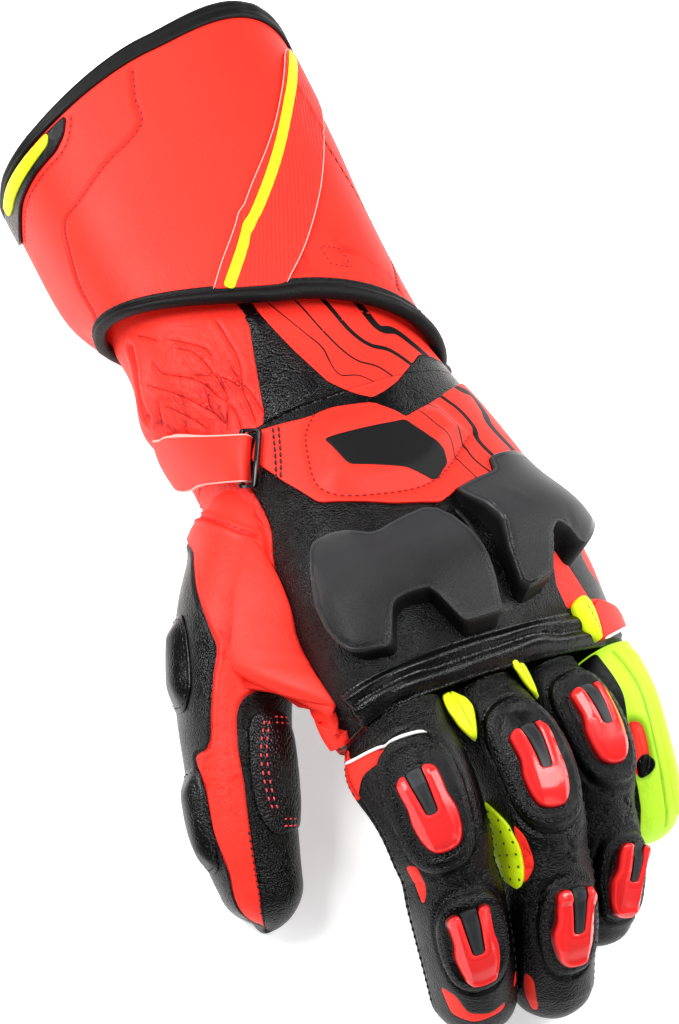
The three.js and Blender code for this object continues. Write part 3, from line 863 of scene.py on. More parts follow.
def note_colours(
    piece: Piece, skin: Skin, flat: Array, fields: dict[str, list[Places]], lines: dict[str, Places],
    corner: float, spacing: float,
) -> None:
    """Writes how deep each vertex is in each coloured field, and how far aside of each stripe.

    Args:
        piece: the piece.
        skin: the skin that it lies on.
        flat: flat places of its upper vertices.
        fields: outlines of each field, by its name.
        lines: middle line of each stripe, by its name.
        corner: rounding of the outlines' corners.
        spacing: distance between the outlines' points.
    """
    for name, outlines in fields.items():
        edges = [rounded(skin.flat(outline), corner, spacing) for outline in outlines]
        depths = [depth_in(flat, edge, FIELD_REACH) for edge in edges]
        note(piece, name, np.max(depths, axis=0), -FIELD_REACH)
    for name, path in lines.items():
        note(piece, name, aside_of(flat, eased(skin.flat(path), 1.0)), STRIPE_REACH)


def grid_faces(rows: int, columns: int, start: int, closed: bool) -> Faces:
    """Quads of a grid of vertices.

    Args:
        rows: number of rows.
        columns: number of vertices in each row.
        start: number of the first vertex.
        closed: whether each row joins its own start.

    Returns:
        Four vertex numbers for each face.
    """
    across = np.arange(columns if closed else columns - 1)
    following = (across + 1) % columns
    faces = []
    for i in range(rows - 1):
        a, b = start + i * columns, start + (i + 1) * columns
        faces += np.stack([a + across, a + following, b + following, b + across], axis=1).tolist()
    return faces


@dataclass
class Shell:
    """A leather wall on a skin, with its relief, its inner side and its coloured fields."""

    name: str
    relief: Relief
    places: Array
    columns: int
    wall: float
    low: Array | float = -90.0
    high: Array | float = 270.0
    closed: bool = False
    domed: bool = False
    fields: dict[str, list[Places]] = field(default_factory=dict)
    lines: dict[str, Places] = field(default_factory=dict)
    folds: Folds | None = None
    stride: int = 3
    corner: float = 2.0

    def angles_at(self, columns: int) -> Array:
        """Angles of each row's vertices."""
        low, high = (np.broadcast_to(side, self.places.shape)[:, None] for side in (self.low, self.high))
        return low + (high - low) * np.linspace(0.0, 1.0, columns, endpoint=not self.closed)[None]

    def build(self) -> Piece:
        """Makes the wall's mesh.

        Returns:
            The object, with a seam shade and a depth for each coloured field.
        """
        skin = self.relief.skin
        columns = self.columns // self.stride * self.stride + (0 if self.closed else 1)
        degrees = self.angles_at(columns)
        places = np.repeat(self.places[:, None], columns, axis=1)
        flat = skin.flat(np.stack([places, degrees], axis=-1))
        lift, shade = self.relief.at(flat)
        outer = skin.points(places, degrees, lift)
        inner_places = self.places[:: self.stride]
        if self.domed:
            inner_places = np.minimum(inner_places, skin.length - self.wall)
        inner_degrees = degrees[:: self.stride, :: self.stride]
        inner_places = np.repeat(inner_places[:, None], inner_degrees.shape[1], axis=1)
        swell = self.relief.swell(skin.flat(np.stack([inner_places, inner_degrees], axis=-1)))
        inner = skin.points(inner_places, inner_degrees, swell - self.wall)
        faces = self.join(outer.shape[0], columns, inner.shape[0], inner.shape[1])
        points = [outer.reshape(-1, 3), inner.reshape(-1, 3)]
        if self.domed:
            points += [skin.points(np.array([skin.length - deep]), np.array([90.0]), -deep)
                       for deep in (0.0, self.wall)]
        piece = object_from(self.name, np.vstack(points), faces)
        turn_outwards(piece)
        note(piece, "shade", shade)
        note_colours(piece, skin, flat, self.fields, self.lines, self.corner, 1.0)
        if self.folds:
            note(piece, "folds", self.folds.at(skin, flat))
        for feature in self.relief.features:
            if isinstance(feature, Creases):
                note(piece, "crease", Creases.AT + feature.aside(skin, flat))
        return piece

    def join(self, rows: int, columns: int, inner_rows: int, inner_columns: int) -> Faces:
        """Faces of the outer side, the inner side and the edges between them.

        Args:
            rows: rows of the outer side.
            columns: its vertices in each row.
            inner_rows: rows of the inner side.
            inner_columns: its vertices in each row.

        Returns:
            Vertex numbers of each face.
        """
        start = rows * columns
        faces = grid_faces(rows, columns, 0, self.closed)
        faces += [face[::-1] for face in grid_faces(inner_rows, inner_columns, start, self.closed)]
        outer = np.arange(start).reshape(rows, columns)
        inner = start + np.arange(inner_rows * inner_columns).reshape(inner_rows, inner_columns)
        faces += self.bridge(outer[0], inner[0], False, self.closed)
        if self.domed:
            for ring, pole, turn in ((outer[-1], inner[-1, -1] + 1, 1), (inner[-1], inner[-1, -1] + 2, -1)):
                faces += [(*(int(a), int(b))[::turn], int(pole)) for a, b in zip(ring, np.roll(ring, -1))]
        else:
            faces += self.bridge(outer[-1], inner[-1], True, self.closed)
        if not self.closed:
            faces += self.bridge(outer[:, 0], inner[:, 0], True, False)
            faces += self.bridge(outer[:, -1], inner[:, -1], False, False)
        return faces

    def bridge(self, outer: Array, inner: Array, turned: bool, ring: bool) -> Faces:
        """Faces between a fine edge and a coarse one.

        Args:
            outer: vertex numbers of the fine edge.
            inner: vertex numbers of the coarse edge.
            turned: whether the faces turn the other way.
            ring: whether both edges are closed.

        Returns:
            One face for each step of the coarse edge.
        """
        count = len(inner) if ring else len(inner) - 1
        faces = []
        for k in range(count):
            fine = [int(outer[(k * self.stride + s) % len(outer)]) for s in range(self.stride + 1)]
            face = [int(inner[k]), int(inner[(k + 1) % len(inner)])] + fine[::-1]
            faces.append(tuple(face if turned else face[::-1]))
        return faces


@dataclass
class Plate:
    """A piece of leather or plastic laid on a skin inside an outline."""

    name: str
    relief: Relief
    outline: Places
    height: Heights
    corner: float = 1.5
    spacing: float = 0.8
    rings: tuple[float, ...] = (0.0, 0.12, 0.35, 0.7, 1.2)
    base: float = -0.2
    fields: dict[str, list[Places]] = field(default_factory=dict)
    lines: dict[str, Places] = field(default_factory=dict)

    def filled(self) -> tuple[Array, Array, Faces, int]:
        """Fills the outline with rings along its edge and a lattice inside them.

        Returns:
            Flat points, their depth inside the outline, the faces, and the number of points
            in the first ring, which come first.
        """
        skin = self.relief.skin
        edge = rounded(skin.flat(self.outline), self.corner, self.spacing)
        inward = unit(left_of(np.roll(edge, -1, axis=0) - np.roll(edge, 1, axis=0)))
        count = len(edge)
        rings = [edge + inward * ring for ring in self.rings]
        faces = []
        for k in range(len(rings) - 1):
            for i in range(count):
                j = (i + 1) % count
                faces.append((k * count + i, k * count + j, (k + 1) * count + j, (k + 1) * count + i))
        last = rings[-1]
        low, high = last.min(axis=0), last.max(axis=0)
        step = self.spacing
        u, v = np.meshgrid(*(np.arange(low[k] + 0.5 * step, high[k], step) for k in (0, 1)))
        lattice = np.stack([u.ravel(), v.ravel()], axis=-1)
        lattice = lattice[depth_in(lattice, last) > 0.55 * step]
        corners = [Vector(p) for p in np.vstack([last, lattice])]
        edges = [(i, (i + 1) % count) for i in range(count)]
        found, _, inner, origins, _, _ = delaunay_2d_cdt(corners, edges, [], 1, 1e-7)
        start = (len(rings) - 1) * count
        number, extra = {}, []
        for i, (point, origin) in enumerate(zip(found, origins)):
            if origin:
                number[i] = start + origin[0]
            else:
                number[i] = start + len(corners) + len(extra)
                extra.append(np.array(point))
        faces += [tuple(number[i] for i in face) for face in inner]
        points = np.vstack([*rings[:-1], np.array([np.array(c) for c in corners])] + extra)
        depth = np.concatenate([np.repeat(self.rings[:-1], count), np.full(count, self.rings[-1]),
                                depth_in(points[start + count:], edge)])
        return points, depth, faces, count

    def build(self) -> Piece:
        """Makes the plate's mesh.

        Returns:
            The object, with its flat place and the depth inside its edge as attributes.
        """
        skin = self.relief.skin
        flat, depth, faces, count = self.filled()
        under, _ = self.relief.at(flat)
        places, degrees = flat[:, 0], skin.angles(flat[:, 1])
        top = skin.points(places, degrees, under + self.height(flat, depth))
        bottom = skin.points(places, degrees, under + self.base)
        size = len(flat)
        walls = [(i, size + i, size + (i + 1) % count, (i + 1) % count) for i in range(count)]
        under_faces = [tuple(size + i for i in reversed(face)) for face in faces]
        piece = object_from(self.name, np.vstack([top, bottom]), faces + walls + under_faces)
        turn_outwards(piece)
        note(piece, "edge", depth)
        note(piece, "along", flat[:, 0])
        note(piece, "around", flat[:, 1])
        note_colours(piece, skin, flat, self.fields, self.lines, 0.8, 0.6)
        return piece


def rim_rise(depth: Array, radius: float) -> Array:
    """The round rise of an edge, from 0 at the outline to 1 at its radius."""
    part = np.clip(1.0 - depth / radius, 0.0, 1.0)
    return np.sqrt(np.maximum(0.0, 1.0 - part * part))


def cut_edge(height: float, radius: float = 0.35) -> Heights:
    """The height of flat leather with a softly cut edge.

    Args:
        height: the leather's thickness in millimetres.
        radius: how far its edge is rounded.

    Returns:
        The height function.
    """
    def shape(flat: Array, depth: Array) -> Array:
        """The height at each place and depth."""
        return height * (0.75 + 0.25 * rim_rise(depth, radius))

    return shape


def mirrored(half: Places) -> Places:
    """The other half of an outline, mirrored over v = 0 and in turned order."""
    return tuple((u, -v) for u, v in half[::-1])


def padded_edge(rim: float, crown: float, reach: float) -> Heights:
    """The height of a padded panel.

    Args:
        rim: height of its sewn edge.
        crown: how much higher its middle is.
        reach: how far inside the edge it is at its full height.

    Returns:
        A function of flat points and depth.
    """
    def height(_: Array, depth: Array) -> Array:
        """The height at each depth inside the edge."""
        return rim * (0.7 + 0.3 * rim_rise(depth, 0.5)) + crown * smooth(depth / reach) ** 0.8

    return height


class Thread(Enum):
    """The sewing threads."""

    RED = "red_thread"
    BLACK = "black_thread"
    ROSE = "rose_thread"
    DARK = "dark_red_thread"


@dataclass(frozen=True)
class Seam:
    """A row of stitches along a line on a skin."""

    path: Places
    thread: Thread
    pitch: float = 2.6
    length: float = 1.9
    radius: float = 0.32
    lift: float = 0.1
    aside: float = 0.0
    closed: bool = False
    corner: float = 4.0


class Stitcher:
    """Sews seams: each stitch is a small bent capsule lying on the leather."""

    SIDES, RINGS = 6, 4

    def __init__(self) -> None:
        """Starts with no stitches."""
        self.points: dict[Thread, list[Array]] = {thread: [] for thread in Thread}

    def sew(self, relief: Relief, seam: Seam) -> None:
        """Adds a seam's stitches.

        Args:
            relief: the leather that it is sewn into.
            seam: the row of stitches.
        """
        skin = relief.skin
        corners = skin.flat(seam.path)
        line = rounded(corners, seam.corner, 0.5) if seam.closed else eased(corners, 0.5)
        if seam.aside:
            line = line + seam.aside * left_of(unit(np.gradient(line, axis=0)))
        reach = reach_along(line)
        starts = np.arange(0.5 * seam.pitch, reach[-1] - 0.5 * seam.pitch, seam.pitch)
        if not len(starts):
            return
        part = np.linspace(-0.5, 0.5, self.RINGS)
        wanted = starts[:, None] + part[None] * seam.length
        flat = np.stack([np.interp(wanted, reach, line[:, k]) for k in (0, 1)], axis=-1)
        under, _ = relief.at(flat)
        dip = seam.radius * 1.3 * (2 * part) ** 4
        degrees = skin.angles(flat[..., 1])
        middle = skin.points(flat[..., 0], degrees, under + seam.lift - dip)
        above = skin.points(flat[..., 0], degrees, under + seam.lift - dip + 1.0)
        up = unit(above - middle)
        side = np.cross(unit(np.gradient(middle, axis=1)), up)
        radii = seam.radius * MM * np.array([0.45, 1.0, 1.0, 0.45])
        turns = np.radians(np.arange(self.SIDES) * TURN / self.SIDES)
        ring = (side[:, :, None] * np.cos(turns)[None, None, :, None]
                + 0.8 * up[:, :, None] * np.sin(turns)[None, None, :, None])
        self.points[seam.thread].append(middle[:, :, None] + ring * radii[None, :, None, None])

    def finish(self, name: str, slot: str) -> None:
        """Makes and dresses one object for each thread that was used.

        Args:
            name: start of the objects' names.
            slot: the record's material slot.
        """
        for thread, blocks in self.points.items():
            if not blocks:
                continue
            rings = np.concatenate(blocks)
            count = self.RINGS * self.SIDES
            single = grid_faces(self.RINGS, self.SIDES, 0, True)
            single += [tuple(range(self.SIDES))[::-1], tuple(range(count - self.SIDES, count))]
            faces = [tuple(k * count + i for i in face) for k in range(len(rings)) for face in single]
            piece = object_from(f"{name}_{thread.value}", rings.reshape(-1, 3), faces)
            turn_outwards(piece)
            dress(piece, thread_material(f"{name}_{thread.value}", THREADS[thread]), slot)


def swept(name: str, lines: Array, closed_along: bool, capped: bool) -> Piece:
    """A solid from rings of points.

    Args:
        name: the object's name.
        lines: rings of points in metres, one after the other.
        closed_along: whether the last ring joins the first.
        capped: whether the two ends get flat faces.

    Returns:
        The object.
    """
    rows, columns = lines.shape[:2]
    grid = np.concatenate([lines, lines[:1]]) if closed_along else lines
    faces = grid_faces(len(grid), columns, 0, True)
    if closed_along:
        faces = [tuple(i % (rows * columns) for i in face) for face in faces]
    if capped:
        faces += [tuple(range(columns))[::-1], tuple(range((rows - 1) * columns, rows * columns))]
    piece = object_from(name, lines.reshape(-1, 3), faces)
    turn_outwards(piece)
    return piece


def cord_on(name: str, relief: Relief, path: Places, radius: float, lift: float) -> Piece:
    """A thin round piping laid along a line on a skin.

    Args:
        name: the object's name.
        relief: the leather that it lies on.
        path: places that it passes through.
        radius: its radius.
        lift: height of its middle above the leather.

    Returns:
        The object.
    """
    skin = relief.skin
    line = eased(skin.flat(path), 0.7)
    under, _ = relief.at(line)
    degrees = skin.angles(line[:, 1])
    middle = skin.points(line[:, 0], degrees, under + lift)
    up = unit(skin.points(line[:, 0], degrees, under + lift + 1.0) - middle)
    side = np.cross(unit(np.gradient(middle, axis=0)), up)
    turns = np.radians(np.arange(0.0, TURN, 36.0))
    count = np.arange(len(line))
    size = radius * MM * np.minimum(1.0, 0.3 + np.minimum(count, count[::-1]) / 3)
    rings = middle[:, None] + size[:, None, None] * (
        side[:, None] * np.cos(turns)[None, :, None] + up[:, None] * np.sin(turns)[None, :, None])
    return swept(name, rings, False, True)


def srgb(red: float, green: float, blue: float) -> Colour:
    """A colour given in the usual 0 to 255 steps, as Blender's linear one."""
    return tuple((value / 255.0) ** 2.2 for value in (red, green, blue))


Number = Union["Value", float]


class Value:
    """A value in a material; its sums and products add Math nodes."""

    def __init__(self, tree: bpy.types.NodeTree, socket: bpy.types.NodeSocket) -> None:
        """Wraps the output that gives the value."""
        self.tree = tree
        self.socket = socket

    def math(self, operation: str, *others: Number, first: Number | None = None) -> "Value":
        """The result of a Math node.

        Args:
            operation: the node's operation.
            others: its further inputs.
            first: its first input, if that isn't this value.

        Returns:
            The node's value.
        """
        node = self.tree.nodes.new("ShaderNodeMath")
        node.operation = operation
        for socket, value in zip(node.inputs, (self if first is None else first, *others)):
            if isinstance(value, Value):
                self.tree.links.new(value.socket, socket)
            else:
                socket.default_value = value
        return Value(self.tree, node.outputs[0])

    def __add__(self, other: Number) -> "Value":
        """This value and another."""
        return self.math("ADD", other)

    def __sub__(self, other: Number) -> "Value":
        """This value less another."""
        return self.math("SUBTRACT", other)

    def __rsub__(self, other: float) -> "Value":
        """A number less this value."""
        return self.math("SUBTRACT", self, first=other)

    def __mul__(self, other: Number) -> "Value":
        """This value times another."""
        return self.math("MULTIPLY", other)

    def __truediv__(self, other: Number) -> "Value":
        """This value over another."""
        return self.math("DIVIDE", other)

    __radd__ = __add__
    __rmul__ = __mul__

    def clamped(self, low: float, high: float) -> "Value":
        """0 below low, 1 above high and straight between them."""
        part = (self - low) / (high - low)
        return part.math("MAXIMUM", 0.0).math("MINIMUM", 1.0)


class Recipe:
    """A material under construction."""

    def __init__(self, name: str) -> None:
        """Starts an empty material.

        Args:
            name: the material's name.
        """
        self.material = bpy.data.materials.new(name)
        self.material.use_nodes = True
        self.tree = self.material.node_tree
        self.tree.nodes.clear()
        self.places = self.node("TexCoord", {}, {}, "Object")

    def node(self, kind: str, settings: dict, inputs: dict, output: int | str | None = 0) -> Value | None:
        """Adds any node.

        Args:
            kind: the node's type, without its prefix.
            settings: the node's own settings, set first.
            inputs: values or links of its sockets.
            output: the output that is wanted, if any.

        Returns:
            That output's value.
        """
        made = self.tree.nodes.new("ShaderNode" + kind)
        for name, value in settings.items():
            setattr(made, name, value)
        for name, value in inputs.items():
            if isinstance(value, Value):
                self.tree.links.new(value.socket, made.inputs[name])
            else:
                colour = made.inputs[name].type == "RGBA"
                made.inputs[name].default_value = (*value, 1.0) if colour else value
        return None if output is None else Value(self.tree, made.outputs[output])

    def noise(self, size: float, detail: float = 2.0) -> Value:
        """Noise with features of a size in millimetres, from 0 to 1."""
        inputs = {"Vector": self.places, "Scale": PER_METRE / size, "Detail": detail}
        return self.node("TexNoise", {}, inputs, "Fac")

    def vectors(self, operation: str, inputs: dict) -> Value:
        """The result of a Vector Math node."""
        return self.node("VectorMath", {"operation": operation}, inputs)

    def scattered(self) -> Value:
        """Places that are shifted a little by noise."""
        shift = self.node("TexNoise", {}, {"Vector": self.places, "Scale": 400.0, "Detail": 1.0}, "Color")
        return self.vectors("ADD", {0: self.places, 1: self.vectors("SCALE", {0: shift, "Scale": 0.5 * MM})})

    def pebbles(self, leather: "Leather", places: Value, uneven: Value) -> Value:
        """The height of a leather's grain in millimetres: round pebbles with creases between them.

        Args:
            leather: the leather.
            places: scattered places, the same for all leathers of a piece.
            uneven: slow changes of the grain's depth.

        Returns:
            The height.
        """
        inputs = {"Vector": places, "Scale": PER_METRE / leather.grain}
        cell = self.node("TexVoronoi", {"feature": "F1"}, inputs, "Distance")
        return (1.0 - cell * cell * 1.4) * uneven * leather.depth

    def cracks(self, size: float) -> Value:
        """Thin branching creases, 1 in their middle, between cells of a size in millimetres.

        Args:
            size: size of the cells.

        Returns:
            How deep in a crease each place is.
        """
        scale = PER_METRE / size
        turned = self.node("Mapping", {}, {
            "Vector": self.places, "Rotation": (0.0, 0.0, math.radians(52.0)),
            "Scale": (scale, scale / 2.1, scale),
        })
        bend = self.node("TexNoise", {}, {"Vector": turned, "Scale": 1.3, "Detail": 2.0}, "Color")
        bent = self.vectors("ADD", {0: turned, 1: self.vectors("SCALE", {0: bend, "Scale": 0.9})})
        cells = {"Vector": bent, "Scale": 1.0}
        gap = self.node("TexVoronoi", {"feature": "DISTANCE_TO_EDGE"}, cells, "Distance")
        return 1.0 - gap.clamped(0.0, 0.11)

    def mark(self, name: str) -> Value:
        """A number that the mesh carries on its vertices."""
        return self.node("Attribute", {"attribute_name": name}, {}, "Fac")

    def mix(self, part: Number, low: Value | Colour, high: Value | Colour) -> Value:
        """A colour between two."""
        return self.node("Mix", {"data_type": "RGBA"}, {0: part, 6: low, 7: high}, 2)

    def finish(self, height: Value, depth: float, inputs: dict) -> Material:
        """Ends the material with its shader.

        Args:
            height: what the bump follows, from about 0 to 1.
            depth: the bump's depth in millimetres.
            inputs: the shader's own sockets.

        Returns:
            The material.
        """
        bump = self.node("Bump", {}, {"Height": height, "Distance": depth * MM, "Strength": 1.0})
        shader = self.node("BsdfPrincipled", {}, {**inputs, "Normal": bump})
        self.node("OutputMaterial", {}, {"Surface": shader}, None)
        # The glow is too faint to be sampled as a lamp
        self.material.cycles.emission_sampling = "NONE"
        return self.material


@dataclass(frozen=True)
class Leather:
    """A leather: its colour, its colour under painted shade in creases and seams, its grain, its sheen and
    its painted glow.
    """

    colour: Colour
    # Painted shade: the colour that seams, creases and cracks are darkened towards
    dark: Colour
    rough: float = 0.46
    grain: float = 0.8
    depth: float = 0.03
    mottle: float = 0.1
    specular: float = 0.22
    holes: float = 0.0
    # Painted light: strength of the light the leather gives off in its own colour, which brightens it
    glow: float = 0.0


@dataclass(frozen=True)
class Rib:
    """Fine ribs across a panel: their pitch, slant and depth."""

    pitch: float
    slant: float
    depth: float


# Each leather's second colour is its painted shade in creases and seams; its glow is painted light that
# brightens it, strongest on the lime little finger
RED = Leather(srgb(242, 50, 39), srgb(140, 8, 8), rough=0.5, grain=0.9, depth=0.05, specular=0.2, glow=0.08)
NEON = Leather(srgb(214, 236, 34), srgb(90, 104, 6), specular=0.18, glow=0.12)
LIME = Leather(srgb(158, 203, 46), srgb(60, 96, 10), specular=0.2, glow=0.75)
PERFORATED = Leather(srgb(206, 236, 30), srgb(90, 104, 6), holes=3.1, glow=0.1)
BLACK = Leather(srgb(12, 12, 13), srgb(2, 2, 2), rough=0.24, grain=0.5, depth=0.25, specular=0.21)
STRETCHED = Leather(srgb(16, 16, 18), srgb(2, 2, 2), rough=0.28, grain=0.8, depth=0.4, specular=0.28)
SOFT_BLACK = Leather(srgb(12, 12, 13), srgb(2, 2, 2), rough=0.26, grain=0.55, depth=0.09, specular=0.3)
PALM = Leather(srgb(20, 20, 21), srgb(3, 3, 3), rough=0.45, grain=0.6, depth=0.12)
PALE_EDGE = Leather(srgb(246, 170, 160), srgb(200, 90, 80), rough=0.6, depth=0.02)
WHITE = Leather(srgb(240, 238, 236), srgb(150, 146, 144), rough=0.5, depth=0.02)
LIME_SEAM = Leather(srgb(90, 104, 10), srgb(30, 36, 4), rough=0.6, depth=0.02)
PRINTED = Leather(srgb(16, 16, 17), srgb(8, 8, 8), rough=0.6, depth=0.02, specular=0.06)
BINDING = Leather(srgb(20, 20, 21), srgb(4, 4, 5), rough=0.5, grain=0.6, depth=0.09, specular=0.18)

# Sizes in millimetres of what all leathers share
CLOUDS, PATCHES, FIBRES = 22.0, 4.0, 0.45
LONG_CRACKS, SHORT_CRACKS = 5.5, 2.6
# Depths in millimetres of a crack, a crease, the line between two leathers, a print and a hole
CRACK_DEPTH, CREASE_DEPTH, JOIN_DEPTH, PRINT_DEPTH, HOLE_DEPTH = 0.42, 0.2, 0.12, 0.04, 0.4
# How softly a field and a print end, and between which radii a hole does, in millimetres
FIELD_BLUR, PRINT_BLUR = 0.12, 0.1
HOLE_RADII = (0.28, 0.42)
HOLE_COLOUR = (0.01, 0.012, 0.004)

THREADS = {
    Thread.RED: srgb(214, 34, 28),
    Thread.BLACK: srgb(16, 16, 17),
    Thread.DARK: srgb(120, 14, 12),
    Thread.ROSE: srgb(232, 70, 84),
}


def leather_material(
    name: str, base: Leather, fields: dict[str, Leather] | None = None, rib: Rib | None = None,
    stripes: dict[str, float] | None = None, worn: bool = False,
) -> Material:
    """A leather with fields of other leathers, each inside the outline that its attribute gives.

    Args:
        name: the material's name.
        base: the leather outside all fields.
        fields: leather of each field by the attribute's name.
        rib: fine ribs that are pressed into it.
        stripes: widths of black printed lines by their attributes' names.
        worn: whether the piece carries folds, which crack its surface and add painted shade in the cracks
            and creases.

    Returns:
        The material.
    """
    recipe = Recipe(name)
    broad, fine = recipe.noise(CLOUDS, 3.0), recipe.noise(FIBRES, 1.0)
    places, uneven = recipe.scattered(), recipe.noise(PATCHES, 2.0) + 0.5
    shade = recipe.mark("shade")
    open_grain = (broad - 0.42).clamped(0.0, 0.2) * 0.6 + 0.35
    wear: Number = 0.0
    if worn:
        folds = recipe.mark("folds")
        crack = recipe.cracks(LONG_CRACKS) * 0.65 + recipe.cracks(SHORT_CRACKS) * 0.35
        crack = crack * folds.clamped(0.0, 1.2)
        thin = 1.0 - (recipe.mark("crease") - Creases.AT).math("ABSOLUTE").clamped(0.04, 0.3)
        open_grain = open_grain + folds * 0.9
        wear = crack * CRACK_DEPTH + thin * CREASE_DEPTH
        # Painted shade: the cracks and crease lines darken the colour
        shade = shade + crack * 0.7 + thin * 0.7
    height = recipe.pebbles(base, places, uneven) * open_grain - wear
    # Painted shade: marked seams, creases and folds darken the colour towards the leather's shade colour
    darkness = (shade * 0.7).clamped(0.0, 1.0)
    colour = recipe.mix(darkness, base.colour, base.dark)
    rough = base.rough + (broad - 0.5) * 0.16 + (fine - 0.5) * 0.1
    for field_name, leather in (fields or {}).items():
        mark = recipe.mark(field_name)
        within = mark.clamped(-FIELD_BLUR, FIELD_BLUR)
        edge = 1.0 - mark.math("ABSOLUTE").clamped(0.0, 0.5)
        other = recipe.mix(darkness, leather.colour, leather.dark)
        colour = recipe.mix(within, colour, other)
        inner = recipe.pebbles(leather, places, uneven) * open_grain - wear
        height = height * (1.0 - within) + inner * within - edge * JOIN_DEPTH
        rough = rough * (1.0 - within) + (leather.rough + (broad - 0.5) * 0.16) * within
    for line_name, width in (stripes or {}).items():
        within = 0.5 * width - recipe.mark(line_name).math("ABSOLUTE")
        within = within.clamped(-PRINT_BLUR, PRINT_BLUR)
        colour = recipe.mix(within, colour, PRINTED.colour)
        height = height - within * PRINT_DEPTH
    if rib:
        across = recipe.mark("along") * math.cos(math.radians(rib.slant))
        across = across + recipe.mark("around") * math.sin(math.radians(rib.slant))
        wave = (across * (2 * math.pi / rib.pitch)).math("SINE")
        height = height + wave * rib.depth
        colour = recipe.mix((wave * 0.5 + 0.5) * 0.22, colour, base.dark)
    if base.holes:
        pitch = base.holes
        u = (recipe.mark("along") / pitch).math("FRACT") - 0.5
        v = (recipe.mark("around") / pitch).math("FRACT") - 0.5
        hole = 1.0 - ((u * u + v * v).math("SQRT") * pitch).clamped(*HOLE_RADII)
        colour = recipe.mix(hole * 0.9, colour, HOLE_COLOUR)
        height = height - hole * HOLE_DEPTH
    # Painted light: the leather glows in its own colour, as strongly as the strongest of its leathers
    glow = max(leather.glow for leather in (base, *(fields or {}).values()))
    tone = (broad - 0.5) * base.mottle + 1.0
    shine = recipe.vectors("SCALE", {0: colour, "Scale": tone})
    return recipe.finish(height + (fine - 0.5) * 0.025, 1.0, {
        "Base Color": shine, "Roughness": rough, "Specular IOR Level": base.specular,
        "Emission Color": shine, "Emission Strength": glow,
    })


def plastic_material(name: str, colour: Colour, rough: float, speckle: float, coat: float) -> Material:
    """Moulded plastic with a fine speckled surface, painted shade on its walls and on the guards' legs, and
    a painted highlight line just inside its edge.

    Args:
        name: the material's name.
        colour: its colour.
        rough: its roughness.
        speckle: depth of the speckle in millimetres.
        coat: weight of the clear gloss over it.

    Returns:
        The material.
    """
    recipe = Recipe(name)
    fine, broad = recipe.noise(0.5, 2.0), recipe.noise(9.0, 3.0)
    # Painted shade: the guards' legs towards the fingers are darker in colour, and their speckle bump is
    # stronger
    legs = 1.0 - (recipe.mark("along") + 78.0).clamped(0.0, 14.0)
    rim = 1.0 - recipe.mark("edge").clamped(1.6, 2.2)
    # Painted shade: the walls darken in colour from the top edge down to the foot
    wall = 1.0 - recipe.mark("rise").clamped(0.7, 1.0)
    # Painted highlight: a light line in the colour just inside the outline
    line = 1.0 - (recipe.mark("edge") - 0.6).math("ABSOLUTE").clamped(0.15, 0.5)
    # Random tone times the painted shade and the painted highlight
    light = ((broad - 0.5) * 0.2 + 1.0) * (1.0 - wall * 0.85) * (1.0 - legs * 0.5) * (line * 0.6 + 1.0)
    tone = recipe.vectors("SCALE", {0: colour, "Scale": light})
    return recipe.finish(fine * (legs + 0.12), speckle, {
        "Base Color": tone, "Roughness": rough + (broad - 0.5) * 0.1 - rim * 0.18 + wall * 0.2,
        "Coat Weight": coat, "Coat Roughness": 0.12, "Specular IOR Level": 0.16,
    })


def thread_material(name: str, colour: Colour) -> Material:
    """Twisted sewing thread.

    Args:
        name: the material's name.
        colour: its colour.

    Returns:
        The material.
    """
    recipe = Recipe(name)
    twist, tint = recipe.noise(0.3, 1.0), recipe.noise(3.0, 2.0)
    tone = recipe.vectors("SCALE", {0: colour, "Scale": (tint - 0.5) * 0.5 + 1.0})
    return recipe.finish(twist, 0.08, {"Base Color": tone, "Roughness": 0.6 + (twist - 0.5) * 0.2})


def dress(piece: Piece, material: Material, slot: str, *nodes: str) -> Piece:
    """Gives a piece its finish and its body, and hides the CAD nodes that it stands for.

    Args:
        piece: the piece.
        material: its material.
        slot: the record's material slot; not used.
        nodes: the CAD nodes that it replaces.

    Returns:
        The piece.
    """
    piece.data.materials.clear()
    piece.data.materials.append(material)
    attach(piece, "root")
    if nodes:
        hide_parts(*nodes)
    LOG.info("%s: %d faces", piece.name, len(piece.data.polygons))
    return piece


